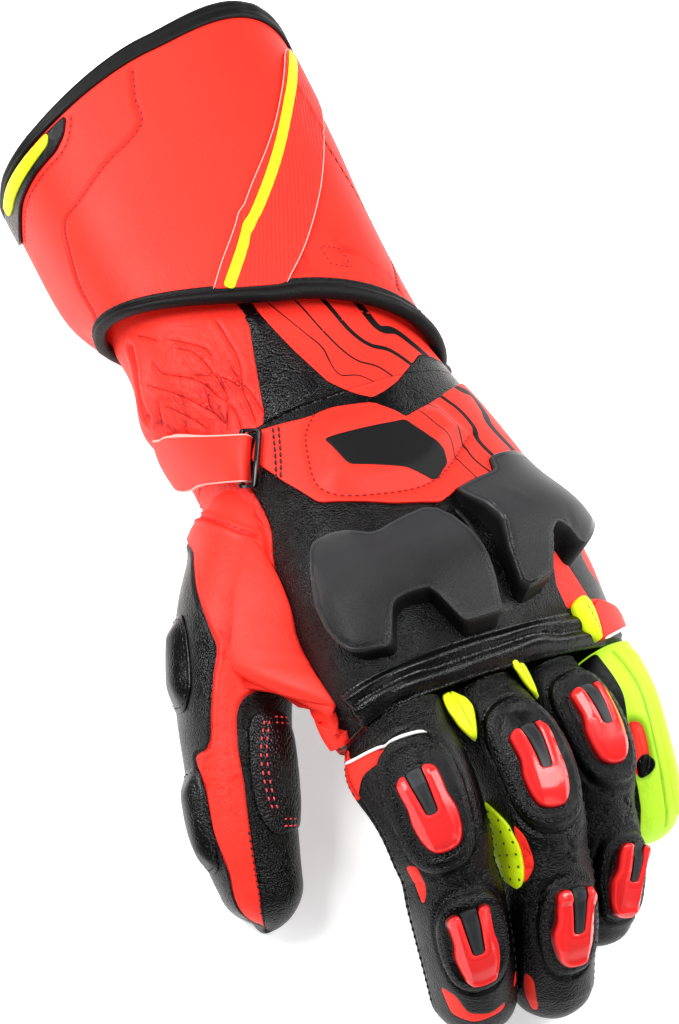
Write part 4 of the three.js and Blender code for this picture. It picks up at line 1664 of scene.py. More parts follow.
@dataclass
class Moulded:
    """A hard plastic piece, modelled flat and then laid on the skin."""

    name: str
    relief: Relief
    outline: Array
    height: Heights
    insets: tuple[float, ...] = (0.35, 1.0)
    crisp: float = 0.2
    lattice: float = 1.6
    creases: tuple[tuple[float, float, float], ...] = ()
    base: float = -0.4
    sharp: float = 24.0
    upright: float = 0.0
    about: Array = field(default_factory=lambda: np.zeros(2))
    lean: float = 0.0

    def blank(self) -> Piece:
        """Adds a circle and bends it to the outline.

        Returns:
            The object, with one flat face.
        """
        bpy.ops.object.select_all(action="DESELECT")
        bpy.ops.mesh.primitive_circle_add(vertices=len(self.outline), radius=1.0, fill_type="NGON")
        piece = bpy.context.object
        piece.name = piece.data.name = self.name
        for vertex, (u, v) in zip(piece.data.vertices, self.outline):
            vertex.co = (u, v, 0.0)
        piece.data.update()
        return piece

    def flat_solid(self) -> Piece:
        """Models the piece flat: outline, extrusion, insets, softened edge and a lattice of cuts.

        Returns:
            The flat object, one millimetre high.
        """
        piece = self.blank()
        if piece.data.polygons[0].normal.z < 0:
            piece.data.flip_normals()
        bpy.ops.object.mode_set(mode="EDIT")
        bpy.ops.mesh.select_all(action="SELECT")
        bpy.ops.mesh.extrude_region_move(TRANSFORM_OT_translate={"value": (0.0, 0.0, 1.0)})
        for step in self.insets:
            bpy.ops.mesh.inset(thickness=step, depth=0.0, use_even_offset=False)
        self.soften(piece)
        for axis in (0, 1):
            low, high = self.outline[:, axis].min(), self.outline[:, axis].max()
            for at in np.arange(low + 0.7 * self.lattice, high - 0.2, self.lattice):
                normal = (1.0, 0.0) if axis == 0 else (0.0, 1.0)
                self.cut((normal[0] * at, normal[1] * at), normal)
        for u, v, turn in self.creases:
            angle = math.radians(turn)
            self.cut((u, v), (-math.sin(angle), math.cos(angle)))
        bpy.ops.object.mode_set(mode="OBJECT")
        return piece

    def soften(self, piece: Piece) -> None:
        """Bevels the upper edge of the flat piece's outline.

        Args:
            piece: the flat piece.
        """
        bpy.ops.object.mode_set(mode="OBJECT")
        mesh = piece.data
        for part in (mesh.vertices, mesh.edges, mesh.polygons):
            part.foreach_set("select", np.zeros(len(part), bool))
        walls = {key for face in mesh.polygons if abs(face.normal.z) < 0.5 for key in face.edge_keys}
        for edge in mesh.edges:
            top = all(mesh.vertices[i].co.z > 0.99 for i in edge.vertices)
            edge.select = top and tuple(sorted(edge.vertices)) in walls
        bpy.ops.object.mode_set(mode="EDIT")
        bpy.ops.mesh.select_mode(type="EDGE")
        bpy.ops.mesh.bevel(offset=self.crisp, segments=3, affect="EDGES")

    def cut(self, place: Place, normal: Place) -> None:
        """Cuts the whole flat piece along one line."""
        bpy.ops.mesh.select_all(action="SELECT")
        bpy.ops.mesh.bisect(plane_co=(*place, 0.0), plane_no=(*normal, 0.0))

    def growth(self, middle: Array, lift: float) -> Array:
        """How much wider than flat a piece at a height becomes, along and round the skin.

        Args:
            middle: the piece's middle.
            lift: the height in millimetres.

        Returns:
            The two shares, 1 where it is as wide as flat.
        """
        long, wide = 7.0, 4.0
        skin = self.relief.skin
        places = middle + np.array([[long, 0.0], [-long, 0.0], [0.0, wide], [0.0, -wide]])
        ends = skin.points(places[:, 0], skin.angles(places[:, 1]), lift) / MM
        return np.linalg.norm(ends[::2] - ends[1::2], axis=1) / (2 * long, 2 * wide)

    def build(self) -> Piece:
        """Makes the piece and lays it on the skin.

        Returns:
            The object.
        """
        piece = self.flat_solid()
        count = len(piece.data.vertices)
        flat = np.zeros(count * 3)
        piece.data.vertices.foreach_get("co", flat)
        flat = flat.reshape(-1, 3)
        places = flat[:, :2].copy()
        under, _ = self.relief.at(places)
        depth = depth_in(places, self.outline, 30.0)
        share = np.clip(flat[:, 2], 0.0, 1.0)
        skin = self.relief.skin
        height = self.height(places, depth)
        if self.upright:
            middle = self.about
            foot, top = self.growth(middle, 0.0), self.growth(middle, self.upright)
            places = middle + (places - middle) / (foot + (top - foot) * share[:, None])
            under, _ = self.relief.at(places)
        places[:, 0] += self.lean * height * share
        lift = under + self.base + (height - self.base) * share
        points = skin.points(places[:, 0], skin.angles(places[:, 1]), lift)
        piece.data.vertices.foreach_set("co", points.ravel())
        piece.data.update()
        turn_outwards(piece)
        note(piece, "along", places[:, 0])
        # The depth inside the outline, which places the painted highlight line and the glossier rim
        note(piece, "edge", depth)
        # The share of the way up each wall, which places the painted wall shade
        note(piece, "rise", share)
        bpy.ops.object.shade_smooth_by_angle(angle=math.radians(self.sharp))
        return piece


class Buckle(Moulded):
    """A moulded ring: a flat outline with an open middle."""

    def flat_solid(self) -> Piece:
        """Models the ring flat: outline, one inset, middle cut out, extrusion and softened edges.

        Returns:
            The flat object, one millimetre high.
        """
        piece = self.blank()
        bpy.ops.object.mode_set(mode="EDIT")
        bpy.ops.mesh.select_all(action="SELECT")
        bpy.ops.mesh.inset(thickness=self.insets[0], depth=0.0, use_even_offset=False)
        bpy.ops.mesh.delete(type="ONLY_FACE")
        bpy.ops.mesh.select_all(action="SELECT")
        bpy.ops.mesh.extrude_region_move(TRANSFORM_OT_translate={"value": (0.0, 0.0, 1.0)})
        self.soften(piece)
        bpy.ops.object.mode_set(mode="OBJECT")
        return piece


class Skins:
    """The glove's skins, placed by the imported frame."""

    def __init__(self) -> None:
        """Makes the skins, and finds where the frame put them from the sleeve's box."""
        self.gauntlet = BodySkin(GAUNTLET_ROWS, gauntlet_floor, 60.0)
        self.hand = BodySkin(HAND_ROWS, sleeve_floor, -40.0)
        self.thumb = FingerSkin(THUMB_ROWS, THUMB_ROLL, THUMB_TIP, 0.0)
        self.fingers = {
            name: FingerSkin(rows, FINGER_ROLL, FINGER_TIP, ROOT_BLEND) for name, rows in FINGER_ROWS.items()
        }
        stations, degrees = np.meshgrid(np.linspace(SLEEVE_TOP, WRIST_SEAM, 6), np.arange(0.0, TURN, 12.0))
        ring = self.hand.points(stations.ravel(), degrees.ravel()) / MM
        low, high = (np.array(corner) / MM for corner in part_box("wrist_sleeve"))
        shift = 0.5 * (low + high) - 0.5 * (ring.min(axis=0) + ring.max(axis=0))
        Skin.origin = np.array([shift[0], shift[1], 0.0]) * MM
        LOG.info("frame shift in millimetres: %.2f %.2f", shift[0], shift[1])


def striped(stripes: Sequence[tuple[float, Places]]) -> tuple[dict[str, float], dict[str, Places]]:
    """Stripes told apart by name.

    Args:
        stripes: the width and middle line of each.

    Returns:
        Their widths and their lines, each by name.
    """
    widths = {f"line_{k}": width for k, (width, _) in enumerate(stripes)}
    return widths, {f"line_{k}": path for k, (_, path) in enumerate(stripes)}


def ribbon_outline(skin: Skin, path: Places, width: float) -> Places:
    """The outline of a strip of even width on a skin.

    Args:
        skin: the skin.
        path: the strip's middle line.
        width: its width in millimetres.

    Returns:
        Places round the outline.
    """
    line = eased(skin.flat(path), 4.0)
    aside = unit(left_of(np.gradient(line, axis=0)))
    ring = np.vstack([line + aside * width / 2, (line - aside * width / 2)[::-1]])
    return tuple((float(u), float(skin.angles(v))) for u, v in ring)


@dataclass
class Gauntlet:
    """The long cuff with its bindings, band, stripe and tab."""

    skin: BodySkin
    relief: Relief = field(init=False)
    stitcher: Stitcher = field(default_factory=Stitcher)

    WAVY = (
        (107.5, 96), (98.2, 100), (92.2, 101), (88.1, 107), (84.4, 120), (76.7, 139), (71.7, 152),
        (58.6, 159), (43.8, 166), (31.7, 169), (28, 173),
    )
    RIGHT = ((90, 42), (78.7, 39), (73.4, 37), (56.9, 22), (49.8, 22), (35.1, 41), (31.5, 43))
    BAND_LEFT = (
        (27.5, 109.4), (36.7, 102), (45.7, 94.7), (53.4, 90), (55.5, 88.5), (61.9, 83.6), (69, 76.2),
        (77.4, 66.4), (86, 56), (93, 47), (102.1, 34.5), (105.8, 22), (106, 9),
    )
    BAND_RIGHT = (
        (101, 9), (91, 22), (79, 37.5), (69.6, 48.6), (59.7, 59.6), (49.5, 70.2), (40.1, 79.2), (33.6, 85.1),
        (27.5, 89.7),
    )
    STRIPE = (
        (27.4, 104.6), (33.3, 99.8), (41.6, 93.6), (48.6, 89.9), (51, 88), (60.3, 80), (69.7, 70.4),
        (82.1, 56.3), (93.1, 41.6), (103, 28),
    )
    TAB = (
        (108, 124), (102.9, 129), (99.9, 136), (98.9, 150), (95.9, 169), (92.8, 179), (90, 189), (95, 199),
        (108, 199),
    )
    TAB_SEAM = (
        (107, 122.5), (101.8, 127.5), (98.2, 134.5), (96.6, 149), (93.6, 168), (90.4, 178), (87.8, 188),
    )
    INSERT = (
        (107.6, 134), (103.6, 137), (101.9, 151), (100.4, 165), (99.2, 178), (101.5, 183), (107.6, 183),
    )
    UNDER_SEAM = ((107, 250), (80, 252), (50, 254), (29, 256))
    BOX = ((40, 66), (40, 74), (34, 74), (34, 66))
    MOUTH_EDGE = (
        (109.4, 0.0), (109.5, 0.7), (110.0, 1.0), (111, 1.05), (111.6, 0.8), (112.0, 1.05), (112.9, 1.15),
        (113.8, 0.9), (114.3, 0.3), (114.6, -0.6), (114.6, -2.0), (114.4, -3.0), (113.7, -3.9),
        (112.4, -4.2), (110.8, -4.2), (109.8, -3.9), (109.4, -3.05), (112.5, -3.05), (112.9, -1.5),
        (112.5, -0.05),
    )
    HEM_EDGE = (
        (29.0, 0.0), (28.9, 0.45), (28.5, 0.65), (27.9, 0.75), (27.2, 0.65), (26.9, 0.35), (26.6, 0.6),
        (26.2, 1.1), (25.5, 1.45), (24.8, 1.5), (24.0, 1.25), (23.4, 0.7), (23.0, 0.0), (22.8, -0.7),
        (22.9, -1.5), (23.4, -2.3), (24.3, -2.8), (25.2, -2.9), (25.6, -2.5), (25.75, -1.5), (25.75, -0.05),
    )

    def build(self) -> None:
        """Builds and dresses all of the cuff."""
        self.relief = Relief(
            self.skin,
            Groove(self.WAVY, 0.55, 0.7, 0.25),
            Groove(self.RIGHT, 0.4, 0.6, 0.25),
            Groove(self.TAB_SEAM, 0.25, 0.6, 0.2),
            Groove(self.UNDER_SEAM, 0.6, 0.8, 0.3),
            Wrinkles((36, 60), 9, 30, 0.22, 6, 14, 5),
            Mound((24, 215), 18, 20, -9.0),
            Mound((34, 6), 34, 34, -3.5),
            Mound((72, 118), 20, 26, 0.5),
            Mound((92, 70), 12, 40, -0.5),
            Mound((48, 142), 14, 24, 0.5),
            Mound((52, 40), 18, 24, 0.6),
            Mound((60, 200), 30, 30, 0.7),
            Mound((70, 300), 30, 40, -0.8),
        )
        folds = Folds((30, 122, 5, 26, 0.35), (32, 70, 5, 22, 0.35), (60, 235, 30, 30, 0.2))
        places = np.arange(MOUTH - 0.6, HEM + 0.3, -1.0)
        shell = Shell("gauntlet", self.relief, places, 330, GAUNTLET_WALL, closed=True, folds=folds).build()
        dress(shell, leather_material("cuff_leather", RED, worn=True), "red_leather", "gauntlet")
        self.bindings()
        self.panels()
        self.sew()

    def bindings(self) -> None:
        """The binding round the mouth and the piping at the hem."""
        material = leather_material("binding_weave", BINDING)
        for name, profile in (("mouth_binding", self.MOUTH_EDGE), ("hem_piping", self.HEM_EDGE)):
            turns = np.arange(0.0, TURN, 1.5)
            place, lift = np.array(profile).T
            degrees = np.repeat(turns[:, None], len(place), axis=1)
            around = self.skin.flat(np.stack([np.full_like(turns, 60.0), turns], axis=-1))[:, 1]
            pucker = 0.1 * Grid(9).noise(around / 4.0, np.zeros_like(around))[:, None]
            flat = self.skin.flat(np.stack([np.repeat(place[None], len(turns), axis=0), degrees], axis=-1))
            height = lift[None] + 0.1 + pucker * (lift[None] > 0.5) + self.relief.swell(flat)
            rings = self.skin.points(place[None], degrees, height)
            dress(swept(name, rings, True, False), material, "edge_binding", name)

    def panels(self) -> None:
        """The laid panels."""
        band = (*self.BAND_LEFT, *self.BAND_RIGHT)
        rib = Rib(1.15, 62.0, 0.12)
        stripe = ribbon_outline(self.skin, self.STRIPE, 2.9)
        pieces = (
            ("cuff_band", band, cut_edge(1.1), RED, rib, "red_leather", -0.2),
            ("cuff_stripe", stripe, cut_edge(1.45), NEON, rib, "neon_leather", 0.9),
            ("cuff_tab", self.TAB, cut_edge(1.3), BLACK, None, "black_leather", -0.2),
            ("cuff_tab_insert", self.INSERT, padded_edge(1.9, 0.5, 3.0), NEON, None, "neon_leather", 1.0),
        )
        for name, outline, height, leather, ribs, slot, base in pieces:
            piece = Plate(name, self.relief, outline, height, 1.6, 1.0, base=base).build()
            dress(piece, leather_material(name + "_leather", leather, rib=ribs), slot, name)
            name == "cuff_tab_insert"

    def sew(self) -> None:
        """The rows of stitches in the cuff."""
        left, right = self.BAND_LEFT[:-1], self.BAND_RIGHT[1:]
        ring = tuple((28.2, angle) for angle in np.arange(-90.0, 271.0, 6.0))
        for seam in (
            Seam(self.WAVY, Thread.DARK, 2.2, 1.5, 0.24, 0.12, 0.5),
            Seam(self.RIGHT, Thread.DARK, 2.2, 1.5, 0.24, 0.12, 0.5),
            Seam(self.TAB_SEAM, Thread.DARK, 2.2, 1.5, 0.24, 0.12),
            Seam(self.UNDER_SEAM, Thread.RED, 2.4, 1.7, 0.26, 0.12, 1.4),
            Seam(left, Thread.DARK, 1.8, 1.2, 0.24, 0.12, -1.2),
            Seam(right, Thread.RED, 2.0, 1.4, 0.24, 0.12, -1.6),
            Seam(self.BOX, Thread.DARK, 1.7, 1.1, 0.24, 0.12, closed=True, corner=0.5),
            Seam(ring, Thread.BLACK, 2.6, 1.9, 0.24, 0.8),
        ):
            self.stitcher.sew(self.relief, seam)
        for name, edge in (("band_edge_left", left), ("band_edge_right", right)):
            line = cord_on(name, self.relief, edge, 0.17, 1.0)
            dress(line, leather_material(name + "_leather", PALE_EDGE), "red_leather")
        self.stitcher.finish("cuff", "red_leather")


@dataclass
class Wrist:
    """The sleeve, its stretch insert, and the strap with its loop."""

    relief: Relief
    stitcher: Stitcher = field(default_factory=Stitcher)

    STRETCH = (
        (27, 105), (23.7, 105), (7.9, 115), (-5.4, 125), (-7.5, 128), (-7.5, 122), (-7.5, 108), (-4.4, 98.5),
        (10.4, 98.5), (27, 100.5),
    )
    FOLD = (
        (220, 0.3, 220, 1.6), (206, 0.3, 206, 1.6), (192, 0.3, 192, 1.6), (178, 0.3, 178, 1.6),
        (164, 0.3, 164, 1.6), (154, 0.3, 154, 1.6), (147.4, 0.3, 148.4, 1.6), (146, 1.4, 147.8, 2.1),
        (145.8, 4.2, 147.6, 3.2), (147, 5.1, 148.2, 3.8), (152, 5.0, 152, 3.7), (158, 4.4, 158, 3.1),
        (168, 3.9, 168, 2.6), (178, 3.9, 178, 2.6), (188, 4.0, 188, 2.7), (197, 4.2, 197, 2.9),
    )
    SLANT = 9.5
    # Stations of the strap's edges at its fold, how far they climb for each degree, and the fold
    UPPER, LOWER = (-10.5, 0.484), (-23.0, 0.512)
    FOLD_ANGLE = 146.0
    LOOP = ((142.2, -0.13), (142.2, 1.13), (149.6, 1.13), (149.6, -0.13))
    FOLDS = Folds((12, 150, 13, 26, 0.45), (20, 175, 14, 22, 0.4), (2, 165, 8, 24, 0.45),
                  (24, 126, 10, 12, 0.3), (8, 240, 12, 34, 0.5), (-4, 95, 5, 12, 0.3))
    RED_PARTS = [
        ((40, 99), (26.3, 99), (10.4, 97), (-3.4, 95), (-8.5, 92), (-13.1, 89), (-12, 84), (-10, 77),
         (-1.8, 53), (-3.4, 29), (8, 26), (40, 26)),
        ((62, 106), (28, 104), (23.7, 105), (7.9, 115), (-5.4, 125), (-12, 135), (-12, 204), (62, 204)),
    ]
    STRIPES = (
        (0.55, ((34, 96), (24, 93), (15.5, 91), (8, 90), (-2, 91), (-5, 87), (-13, 82))),
        (0.85, ((34, 90), (24.7, 88), (13.5, 87), (5, 86), (0, 84), (-4, 79), (-13, 75))),
        (1.9, ((34, 82), (21.7, 79), (10.4, 78), (4.3, 75), (0.7, 68), (-8, 62))),
        (3.3, ((34, 69), (18.6, 65), (9.4, 64), (7, 55), (-4, 46))),
    )
    CREASES = (
        ((28.6, 116), (25.6, 116.1), (21.4, 116.7), (17, 117.1), (12.9, 119), (8.9, 122.1), (5.6, 125.2),
         (1.7, 126.9), (-2.2, 128.6), (-5.5, 130.5)),
        ((27.8, 140.5), (24.3, 134.6), (19.8, 132.5), (15.4, 131.9), (11.7, 131.8), (7.5, 133), (4.4, 134.8),
         (1.3, 139.8), (-2.6, 145)),
        ((28.9, 159.1), (24.4, 156.4), (20.7, 149.8), (16.7, 142.7), (12.5, 138.8), (8.2, 137.8),
         (4.9, 135.8), (0.1, 135.5), (-4.7, 138.6)),
        ((25.2, 169.4), (20.4, 161.9), (16.5, 156.5), (12.1, 151.8), (7.4, 148.1), (3.5, 145.2),
         (-0.9, 144.3)),
        ((14.6, 165), (10.3, 161.4), (6.4, 158.2), (2.7, 155.7)),
        ((18.4, 168.9), (15.6, 172.7), (13.2, 177.1)),
        ((13.1, 122.9), (8.3, 123.5), (4.1, 123), (-0.3, 123.5), (-4.5, 124.6)),
        ((31.3, 140.8), (27.5, 134.2), (23.5, 128.5), (20.7, 127.7)),
        ((17.5, 140.3), (14.6, 134.3), (12, 129.5), (8.9, 126.6), (5, 125.4)),
        ((8.9, 142.4), (6, 145.1), (2, 144.9), (-0.1, 144.4)),
        ((40, 158.8), (37.9, 154.8), (35, 150.3)),
    )

    def build(self) -> None:
        """Builds and dresses the wrist."""
        places = np.append(np.arange(SLEEVE_TOP, WRIST_SEAM + 0.3, -0.8), WRIST_SEAM)
        widths, paths = striped(self.STRIPES)
        shell = Shell("wrist_sleeve", self.relief, places, 345, HAND_WALL, closed=True,
                      fields={"red": self.RED_PARTS}, lines=paths, corner=0.8,
                      folds=self.FOLDS).build()
        material = leather_material("sleeve_leather", BLACK, {"red": RED}, stripes=widths, worn=True)
        dress(shell, material, "red_leather", "wrist_sleeve")
        height = padded_edge(0.3, 0.5, 4.0)
        stretch = Plate("stretch_insert", self.relief, self.STRETCH, height, 1.5, 0.8).build()
        dress(stretch, leather_material("stretch_leather", STRETCHED), "black_leather", "stretch_insert")
        self.strap()
        self.sew()

    def slanted(self, angle: Array, part: Array) -> Array:
        """Places across the strap, which climbs towards the cuff as it goes round.

        Args:
            angle: angle of each cross-section's middle.
            part: share of the strap's width, from its upper edge.

        Returns:
            Stations and angles.
        """
        past = angle - self.FOLD_ANGLE
        upper, lower = (station + climb * past for station, climb in (self.UPPER, self.LOWER))
        return np.stack([upper + (lower - upper) * part, angle + self.SLANT * (2 * part - 1)], axis=-1)

    def ribbon(self, part: Array, angle: Array, height: Array) -> Array:
        """Points of one side of the strap.

        Args:
            part: shares of its width, from its upper edge.
            angle: angle of each cross-section.
            height: lift of each cross-section.

        Returns:
            One row of points for each cross-section.
        """
        places = self.slanted(angle[:, None], part[None])
        bow = 0.5 * np.sin(math.pi * part[None]) - 0.25
        return self.relief.skin.points(places[..., 0], places[..., 1], height[:, None] + 0.6 + bow)

    def strap(self) -> None:
        """The ribbon that passes through the loop and folds back."""
        rows = np.array(self.FOLD)
        table = SizeTable("row a h b g", np.column_stack([np.arange(len(rows)), rows]))
        fine = table.at(np.linspace(0, len(rows) - 1, 5 * len(rows)))
        part = np.array([0.012, 0.0, 0.0, 0.012, 0.05, 0.15, 0.3, 0.5, 0.7, 0.85, 0.95, 0.988])
        share = np.array([0.0, 0.25, 0.75, 1.0, 1.0, 1.0, 1.0, 1.0, 1.0, 1.0, 1.0, 1.0])
        part = np.concatenate([part, 1.0 - part])
        share = np.concatenate([share, 1.0 - share])
        outer = self.ribbon(part, fine["a"], fine["h"])
        inner = self.ribbon(part, fine["b"], fine["g"])
        rings = outer * (1 - share)[None, :, None] + inner * share[None, :, None]
        piece = swept("wrist_strap", rings, False, True)
        edge = (part < 0.02) | (part > 0.98)
        note(piece, "cut", np.where(np.tile(edge, len(rings)), 0.5, -0.5))
        material = leather_material("strap_leather", RED, {"cut": PALE_EDGE})
        dress(piece, material, "red_leather", "wrist_strap")
        corners = np.array([self.slanted(np.array(angle), np.array(share)) for angle, share in self.LOOP])
        outline = rounded(self.relief.skin.flat(corners), 1.2, 0.7)
        loop = Buckle("strap_loop", self.relief, outline, self.loop_height, (1.1,), base=2.6).build()
        material = plastic_material("loop_plastic", srgb(26, 26, 28), 0.26, 0.008, 0.4)
        dress(loop, material, "hardware", "strap_loop")

    @staticmethod
    def loop_height(flat: Array, depth: Array) -> Array:
        """The loop's upper side, which is flat."""
        return np.full_like(depth, 4.2)

    def sew(self) -> None:
        """The rows of stitches in the wrist."""
        left = ((26.3, 106.2), (23.7, 106.2), (7.9, 116.2), (-5.4, 126))
        right = ((25, 98.5), (10.4, 96.2), (-3.4, 94))
        across = ((14, 92), (13.5, 86), (15, 78), (17, 70), (14, 60))
        for seam in (
            Seam(left, Thread.RED, 2.3, 1.6, 0.26, 0.15, -0.9),
            Seam(right, Thread.RED, 2.3, 1.6, 0.24, 0.12, 0.8),
            Seam(across, Thread.RED, 2.4, 1.6, 0.24),
        ):
            self.stitcher.sew(self.relief, seam)
        self.stitcher.finish("wrist", "red_leather")


@dataclass
class Hand:
    """The hand's shells, the padded wrist panel, the pleats and the knuckle guards."""

    relief: Relief
    stitcher: Stitcher = field(default_factory=Stitcher)

    BORDER = (
        (-8, 150), (-21.7, 159), (-32.5, 162), (-39.1, 165), (-46.8, 174), (-55.4, 180), (-64.6, 182.5),
        (-70.3, 185.5), (-82.5, 188), (-95.3, 188), (-102.9, 198), (-106, 201),
    )
    PALM_SEAM = ((-8, 204), (-39, 207), (-55, 212), (-70, 222), (-95, 232), (-106, 234))
    PANEL = (
        (-9.5, 133), (-12.6, 113), (-12.5, 101), (-15, 90), (-24.5, 88), (-19.2, 68), (-16, 54), (-13, 37),
        (-18.2, 31), (-24.3, 31), (-40.6, 32), (-43.2, 65), (-48, 70), (-49.3, 81), (-51, 87), (-54, 92),
        (-50, 106), (-40.6, 133), (-28, 142), (-16.6, 147),
    )
    QUAD = ((-13.6, 88), (-11.5, 83), (-16.1, 63), (-18.7, 68), (-24.3, 88))
    UPPER_MARK = ((-11.4, 112), (-6.4, 105), (-5.4, 100), (-9, 91), (-13.6, 89), (-12.6, 101), (-12.6, 108))
    INSET = (
        (-22.8, 114), (-25.2, 88.5), (-38.1, 84), (-42.2, 85), (-46.4, 90), (-46, 91), (-41.1, 96),
        (-34.5, 112), (-33, 113),
    )
    STRIPES = (
        (0.55, ((-19, 84), (-23, 83), (-29.4, 81.5), (-35, 79.5), (-41.7, 81), (-50, 79))),
        (0.85, ((-16, 78), (-20.9, 76), (-29.9, 73), (-37, 74.5), (-43, 75), (-50, 71))),
        (1.8, ((-15, 68), (-19.3, 66), (-24.8, 63), (-31.4, 63), (-37, 66.5), (-48, 63))),
        (3.0, ((-12, 54), (-16.5, 49), (-18.2, 41), (-25.3, 45), (-31.5, 50), (-46, 45))),
    )
    PANEL_SEAM = (
        (-12.3, 108), (-19.2, 119), (-31.4, 128), (-38.6, 127), (-43.7, 117), (-47.3, 100), (-46.8, 91),
        (-43.2, 85), (-39.6, 79), (-33.5, 67),
    )
    GUARD_INNER = (
        (-53.4, 150.5), (-51.4, 146.6), (-51.1, 143.5), (-51.4, 135.0), (-52.9, 128.1), (-56.1, 120.6),
        (-56.6, 115.8), (-55.3, 105.0), (-54.4, 98.0), (-56.0, 94.3), (-60.4, 92.1), (-68, 91.6),
        (-76, 92.0), (-86, 92.6), (-94.6, 93.6), (-95.3, 95.0), (-95.4, 103.8), (-94.9, 105.6),
        (-85.1, 111.0), (-83.0, 112.6), (-82.0, 119.5), (-82.2, 124.2), (-83.4, 126.4), (-92.6, 132.0),
        (-93.4, 134.6), (-91.6, 146.0), (-89.6, 151.2), (-84.6, 156.6), (-79.0, 159.6), (-70.5, 160.0),
        (-62.5, 157.6), (-57.2, 154.2),
    )
    GUARD_OUTER = (
        (-52.8, 88.5), (-51.6, 84.3), (-50.6, 80.3), (-49.6, 73.5), (-49.0, 71.7), (-44.1, 68.9),
        (-43.3, 64.2), (-42.4, 52), (-42.2, 40), (-46, 31), (-54, 28), (-62, 27), (-70.8, 27.5), (-75.4, 42),
        (-80.0, 52.6), (-82.4, 58.4), (-81.2, 62.0), (-77.0, 63.6), (-74.0, 67.6), (-76.4, 71.4),
        (-79.0, 72.8), (-82.4, 74.6), (-88.2, 77.6), (-89.9, 83.6), (-90.5, 86.8), (-88.4, 88.2),
        (-77.4, 87.8), (-68.6, 85.4), (-62.2, 86.4), (-56, 88.4),
    )
    CORNER = (
        (-95.8, 58.1), (-93.5, 52.3), (-94.3, 45.6), (-95.0, 35.9), (-96.5, 24.8), (-100.3, 25.0),
        (-102.8, 40.6), (-105.4, 57.8), (-100.8, 57.0),
    )
    LEAF = (
        (-93.0, 65.8), (-92.2, 62.5), (-93.7, 59.5), (-97.3, 58.1), (-101.9, 58.2), (-105.9, 59.1),
        (-103.2, 64.8), (-98.4, 67.5), (-94.8, 68.5),
    )
    LEAF_SEAM = ((-94, 64.5), (-98, 63), (-102, 61), (-104.5, 60))
    BEAD = ((-57, 90.2), (-64.6, 89.8), (-74, 90.2), (-82, 90.8), (-88.5, 92), (-91.5, 96))
    RED_PARTS = [
        ((-75.5, 62.4), (-79.7, 67.2), (-87.3, 70.2), (-94.6, 69.1), (-92.2, 52.6), (-85, 57.5)),
        ((-71.3, 29), (-83, 27), (-88.6, 26), (-83, 42), (-78.4, 43)),
        ((-92.2, 50), (-92.2, 38), (-95.4, 30), (-95.4, 50), (-95, 62)),
    ]

    FOLDS = Folds((-60, 168, 24, 5, 0.3), (-98, 100, 5, 40, 0.7), (-27, 170, 13, 14, 1.0),
                  (-46, 118, 4, 16, 0.4), (-88, 150, 8, 14, 0.6), (-30, 132, 10, 8, 0.4),
                  (-90, 62, 8, 14, 0.5), (-60, 300, 30, 40, 0.35))

    def shells(self) -> None:
        """The back, the thumb side and the palm."""
        places = np.arange(WRIST_SEAM - 0.1, KNUCKLES, -0.72)
        border, palm = (
            SizeTable("station angle", edge).at(places)["angle"] for edge in (self.BORDER, self.PALM_SEAM)
        )
        gap = 0.2
        red = {"red": [Wrist.RED_PARTS[0], *self.RED_PARTS]}
        pieces = (
            ("back_panel", -2 + gap, border - gap, 228, BLACK, red, "black_leather"),
            ("side_panel", border + gap, palm - gap, 72, RED, {}, "red_leather"),
            ("palm_panel", palm + gap, 358 - gap, 168, PALM, {}, "black_leather"),
        )
        for name, low, high, columns, leather, fields, slot in pieces:
            shell = Shell(name, self.relief, places, columns, HAND_WALL, low, high, fields=fields,
                          corner=1.0, folds=self.FOLDS).build()
            reds = {part: RED for part in fields}
            dress(shell, leather_material(name + "_leather", leather, reds, worn=True), slot, name)

    def build(self) -> None:
        """Builds and dresses the hand."""
        self.shells()
        widths, paths = striped(self.STRIPES)
        panel = Plate("wrist_panel", self.relief, self.PANEL, self.panel_height, 1.6, 0.8,
                      fields={"black": [self.QUAD, self.UPPER_MARK, self.INSET]}, lines=paths).build()
        material = leather_material("wrist_panel_leather", RED, {"black": PRINTED}, stripes=widths)
        dress(panel, material, "red_leather", "wrist_panel")
        upper, lower, angles = -95.5, -105.8, (34, 60, 100, 140, 174)
        outline = (*((upper, angle) for angle in angles), *((lower, angle) for angle in angles[::-1]))
        pleats = Plate("stretch_pleats", self.relief, outline, self.pleat_height, 1.0, 0.65).build()
        dress(pleats, leather_material("pleat_leather", SOFT_BLACK), "black_leather", "stretch_pleats")
        self.crotch()
        self.guards()
        self.sew()

    def panel_height(self, flat: Array, depth: Array) -> Array:
        """The wrist panel: a thin sewn border round a padded middle.

        Args:
            flat: flat points of the skin.
            depth: how far each lies inside the outline.

        Returns:
            One height in millimetres for each point.
        """
        seam = eased(self.relief.skin.flat(self.PANEL_SEAM), 1.0)
        closed = np.vstack([seam, self.relief.skin.flat(((-20, 70), (-15, 88)))])
        middle = depth_in(flat, closed, 12.0)
        valley = bell(distance_to(flat, seam) / 0.9)
        return 0.8 + 0.3 * rim_rise(depth, 0.5) + 2.3 * smooth(middle / 8.0) - 0.45 * valley

